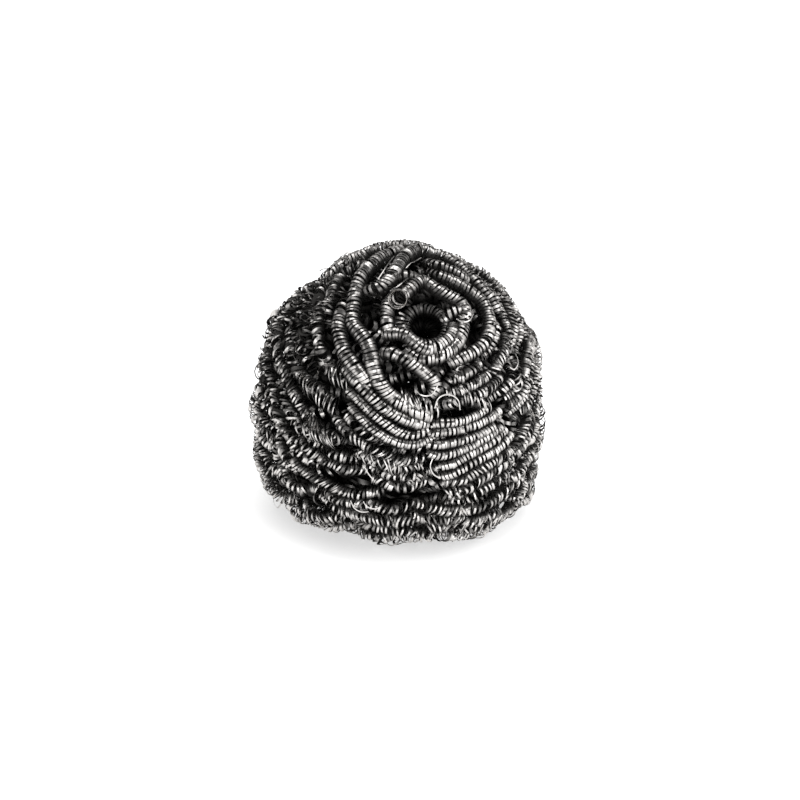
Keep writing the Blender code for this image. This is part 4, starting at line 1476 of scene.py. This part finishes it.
    def finish_piece(self, region: Region, sheet: bmesh.types.BMesh) -> bpy.types.Object:
        """Make a region's piece an object and dress it.

        Args:
            region: The region.
            sheet: Its stretches, joined; it is freed here.

        Returns:
            The piece.
        """
        mesh = bpy.data.meshes.new(region.value)
        sheet.to_mesh(mesh)
        sheet.free()
        mesh.shade_smooth()
        mesh.set_sharp_from_angle(angle=self.RIM_ANGLE)
        flat = np.empty(len(mesh.vertices) * 3)
        mesh.vertices.foreach_get("co", flat)
        # Painted shade, by depth below the crests and by how each point faces the light above
        shaded = self.shading(flat.reshape(-1, 3), np.concatenate(self.facings[region]))
        shade = mesh.attributes.new(SHADED, "FLOAT", "POINT")
        shade.data.foreach_set("value", shaded)
        mesh.materials.append(self.steel)
        piece = bpy.data.objects.new(region.value, mesh)
        bpy.context.scene.collection.objects.link(piece)
        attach(piece, BODY)
        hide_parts(NODE)
        faces = sum(len(polygon.vertices) - 2 for polygon in mesh.polygons)
        log.info("%s: %d triangles", region.value, faces)
        return piece

    def build(self) -> list:
        """Lay every layer.

        Returns:
            The finished pieces.
        """
        self.lay_outer()
        self.lay_free_end()
        self.lay_strays()
        self.lay_loose_wires()
        second = WindingRule(seed=52, spacing=0.0036, closest=0.0027, layer_depth=0.0030, cross_angle=38.0)
        third = WindingRule(seed=63, spacing=0.0042, closest=0.0032, layer_depth=0.0060, cross_angle=-35.0)
        deep = WindingRule(
            seed=74, spacing=0.0048, closest=0.0037, layer_depth=0.0095, cross_angle=50.0
        )
        deepest = WindingRule(
            seed=85, spacing=0.0050, closest=0.0038, layer_depth=0.0138, cross_angle=0.0, open_heart=False
        )
        self.lay_inner(Layer.SECOND, self.inner_coil, second)
        self.lay_inner(Layer.THIRD, self.deep_coil, third)
        self.lay_inner(Layer.DEEP, self.deep_coil, deep)
        self.lay_inner(Layer.DEEPEST, self.deep_coil, deepest)
        log.info("%d turns in all", self.springs.turns_laid)
        return [self.finish_piece(region, sheet) for region, sheet in self.sheets.items()]


@dataclass(frozen=True)
class Softbox:
    """An area lamp of soft white light."""

    name: str
    place: tuple
    size: float
    power: float

    def hang(self, aim: Sequence[float]) -> bpy.types.Object:
        """Add the lamp.

        Args:
            aim: The point that it is turned towards.

        Returns:
            The lamp.
        """
        lamp = bpy.data.lights.new(self.name, "AREA")
        lamp.shape = "DISK"
        lamp.size = self.size
        lamp.energy = self.power
        hung = bpy.data.objects.new(self.name, lamp)
        hung.location = self.place
        hung.visible_camera = False
        hung.rotation_euler = (Vector(aim) - Vector(self.place)).to_track_quat("-Z", "Y").to_euler()
        bpy.context.scene.collection.objects.link(hung)
        return hung


@dataclass(frozen=True)
class Studio:
    """Pale floor, soft lamps, a plain room and the camera."""

    sight: SightLine
    floor_size: float = 6.0
    # Painted shadow on the floor: its white lift is weaker near the roll and darkened by occlusion round
    # the roll's foot
    floor_near: float = 0.90
    floor_far: float = 1.0
    floor_turns_white: tuple = (0.10, 0.30)
    contact_reach: float = 0.016
    contact_shade: float = 0.42
    room_level: float = 0.03
    overhead_level: float = 0.10
    backdrop_top: tuple = (0.18, 0.48)
    floor_colour: tuple = (0.85, 0.85, 0.85, 1.0)
    sensor: float = 36.0
    clip_range: tuple = (0.01, 20.0)
    image_pixels: float = 800.0
    pixels_per_metre: float = 3725.0
    aim_pixel: tuple = (399.0, 397.0)
    lamps: tuple = (
        Softbox("key_softbox", (0.95, -0.35, 0.60), 1.20, 6.7),
        Softbox("front_softbox", (0.00, -1.20, 0.20), 0.90, 3.2),
        Softbox("top_softbox", (0.25, 0.10, 1.15), 0.80, 3.4),
        Softbox("back_softbox", (-0.35, 0.50, 1.05), 0.80, 3.0),
        Softbox("left_softbox", (-1.00, -0.45, 0.25), 0.60, 0.3),
    )

    def floor(self) -> bpy.types.Object:
        """The pale floor, which keeps the roll's shadow, adds a painted shadow round the roll's foot, and
        is white to the camera elsewhere.

        Returns:
            The floor.
        """
        sheet = bmesh.new()
        bmesh.ops.create_grid(sheet, x_segments=1, y_segments=1, size=self.floor_size / 2)
        mesh = bpy.data.meshes.new("studio_floor")
        sheet.to_mesh(mesh)
        sheet.free()
        material = bpy.data.materials.new("pale_floor")
        material.use_nodes = True
        nodes = material.node_tree.nodes
        links = material.node_tree.links
        nodes.clear()
        matt = nodes.new("ShaderNodeBsdfDiffuse")
        matt.inputs["Color"].default_value = self.floor_colour
        lift = nodes.new("ShaderNodeEmission")
        lift.inputs["Color"].default_value = WHITE
        place = nodes.new("ShaderNodeTexCoord")
        away = nodes.new("ShaderNodeVectorMath")
        away.operation = "LENGTH"
        links.new(place.outputs["Object"], away.inputs[0])
        # Painted shadow: the white lift is weaker near the roll
        level = nodes.new("ShaderNodeMapRange")
        level.inputs["From Min"].default_value = self.floor_turns_white[0]
        level.inputs["From Max"].default_value = self.floor_turns_white[1]
        level.inputs["To Min"].default_value = self.floor_near
        level.inputs["To Max"].default_value = self.floor_far
        links.new(away.outputs["Value"], level.inputs["Value"])
        # Painted contact shadow: occlusion darkens the white lift round the roll's foot
        contact = nodes.new("ShaderNodeAmbientOcclusion")
        contact.inputs["Distance"].default_value = self.contact_reach
        shade = nodes.new("ShaderNodeMapRange")
        shade.inputs["To Min"].default_value = 1.0 - self.contact_shade
        links.new(contact.outputs["AO"], shade.inputs["Value"])
        painted_floor_shade = self.product(nodes, links, level.outputs["Result"], shade.outputs["Result"])
        seen = self.seen_directly(nodes, links)
        links.new(self.product(nodes, links, painted_floor_shade, seen), lift.inputs["Strength"])
        both = nodes.new("ShaderNodeAddShader")
        links.new(matt.outputs["BSDF"], both.inputs[0])
        links.new(lift.outputs["Emission"], both.inputs[1])
        out = nodes.new("ShaderNodeOutputMaterial")
        links.new(both.outputs["Shader"], out.inputs["Surface"])
        mesh.materials.append(material)
        floor = bpy.data.objects.new("studio_floor", mesh)
        bpy.context.scene.collection.objects.link(floor)
        return floor

    def seen_directly(self, nodes: bpy.types.Nodes, links: bpy.types.NodeLinks) -> bpy.types.NodeSocket:
        """Tell what the camera sees, itself or in metal and glass, from light on matt things.

        Args:
            nodes: The nodes of the material or world.
            links: Its links.

        Returns:
            An output that is 1 for the first and 0 for the second.
        """
        path = nodes.new("ShaderNodeLightPath")
        total = path.outputs["Is Camera Ray"]
        for kind in ("Is Glossy Ray", "Is Transmission Ray"):
            either = nodes.new("ShaderNodeMath")
            either.operation = "MAXIMUM"
            links.new(total, either.inputs[0])
            links.new(path.outputs[kind], either.inputs[1])
            total = either.outputs["Value"]
        return total

    def product(self, nodes: bpy.types.Nodes, links: bpy.types.NodeLinks, first: bpy.types.NodeSocket,
                second: bpy.types.NodeSocket) -> bpy.types.NodeSocket:
        """Two values multiplied.

        Args:
            nodes: The nodes of the material or world.
            links: Its links.
            first: One value's output.
            second: The other's.

        Returns:
            The product's output.
        """
        times = nodes.new("ShaderNodeMath")
        times.operation = "MULTIPLY"
        links.new(first, times.inputs[0])
        links.new(second, times.inputs[1])
        return times.outputs["Value"]

    def room(self) -> None:
        """A white backdrop all round under a dim ceiling."""
        world = bpy.data.worlds.new("studio_room")
        bpy.context.scene.world = world
        world.use_nodes = True
        nodes = world.node_tree.nodes
        links = world.node_tree.links
        nodes.clear()
        place = nodes.new("ShaderNodeTexCoord")
        parts = nodes.new("ShaderNodeSeparateXYZ")
        links.new(place.outputs["Generated"], parts.inputs["Vector"])
        backdrop = nodes.new("ShaderNodeMapRange")
        backdrop.inputs["From Min"].default_value = self.backdrop_top[0]
        backdrop.inputs["From Max"].default_value = self.backdrop_top[1]
        backdrop.inputs["To Min"].default_value = 1.0
        backdrop.inputs["To Max"].default_value = self.overhead_level
        links.new(parts.outputs["Z"], backdrop.inputs["Value"])
        strength = nodes.new("ShaderNodeMix")
        strength.data_type = "FLOAT"
        strength.inputs["A"].default_value = self.room_level
        links.new(self.seen_directly(nodes, links), strength.inputs["Factor"])
        links.new(backdrop.outputs["Result"], strength.inputs["B"])
        glow = nodes.new("ShaderNodeBackground")
        glow.inputs["Color"].default_value = WHITE
        links.new(strength.outputs["Result"], glow.inputs["Strength"])
        out = nodes.new("ShaderNodeOutputWorld")
        links.new(glow.outputs["Background"], out.inputs["Surface"])

    def camera(self) -> bpy.types.Object:
        """The camera on the line of sight, framed as the photo is.

        Returns:
            The camera.
        """
        lens = bpy.data.cameras.new("product_camera")
        lens.sensor_width = self.sensor
        lens.sensor_height = self.sensor
        lens.sensor_fit = "HORIZONTAL"
        focal_pixels = self.pixels_per_metre * self.sight.distance
        lens.lens = focal_pixels / self.image_pixels * lens.sensor_width
        lens.shift_x = (self.image_pixels / 2 - self.aim_pixel[0]) / self.image_pixels
        lens.shift_y = (self.aim_pixel[1] - self.image_pixels / 2) / self.image_pixels
        lens.clip_start = self.clip_range[0]
        lens.clip_end = self.clip_range[1]
        camera = bpy.data.objects.new("product_camera", lens)
        camera.location = self.sight.eye
        towards = Vector(self.sight.aim - self.sight.eye)
        camera.rotation_euler = towards.to_track_quat("-Z", "Y").to_euler()
        bpy.context.scene.collection.objects.link(camera)
        bpy.context.scene.camera = camera
        return camera

    def build(self) -> None:
        """Set up the floor, the room, the lamps and the camera."""
        self.floor()
        self.room()
        for lamp in self.lamps:
            lamp.hang(self.sight.aim)
        self.camera()
        bpy.context.scene.view_settings.view_transform = "Standard"


def main() -> None:
    """Build the roll and its studio."""
    logging.basicConfig(level=logging.INFO, format="%(name)s: %(message)s")
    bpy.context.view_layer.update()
    sight = SightLine()
    Studio(sight).build()
    pieces = SteelWoolRoll(BallForm(), sight, OpenHeart()).build()
    log.info("%d pieces", len(pieces))


if __name__ == "__main__":
    main()
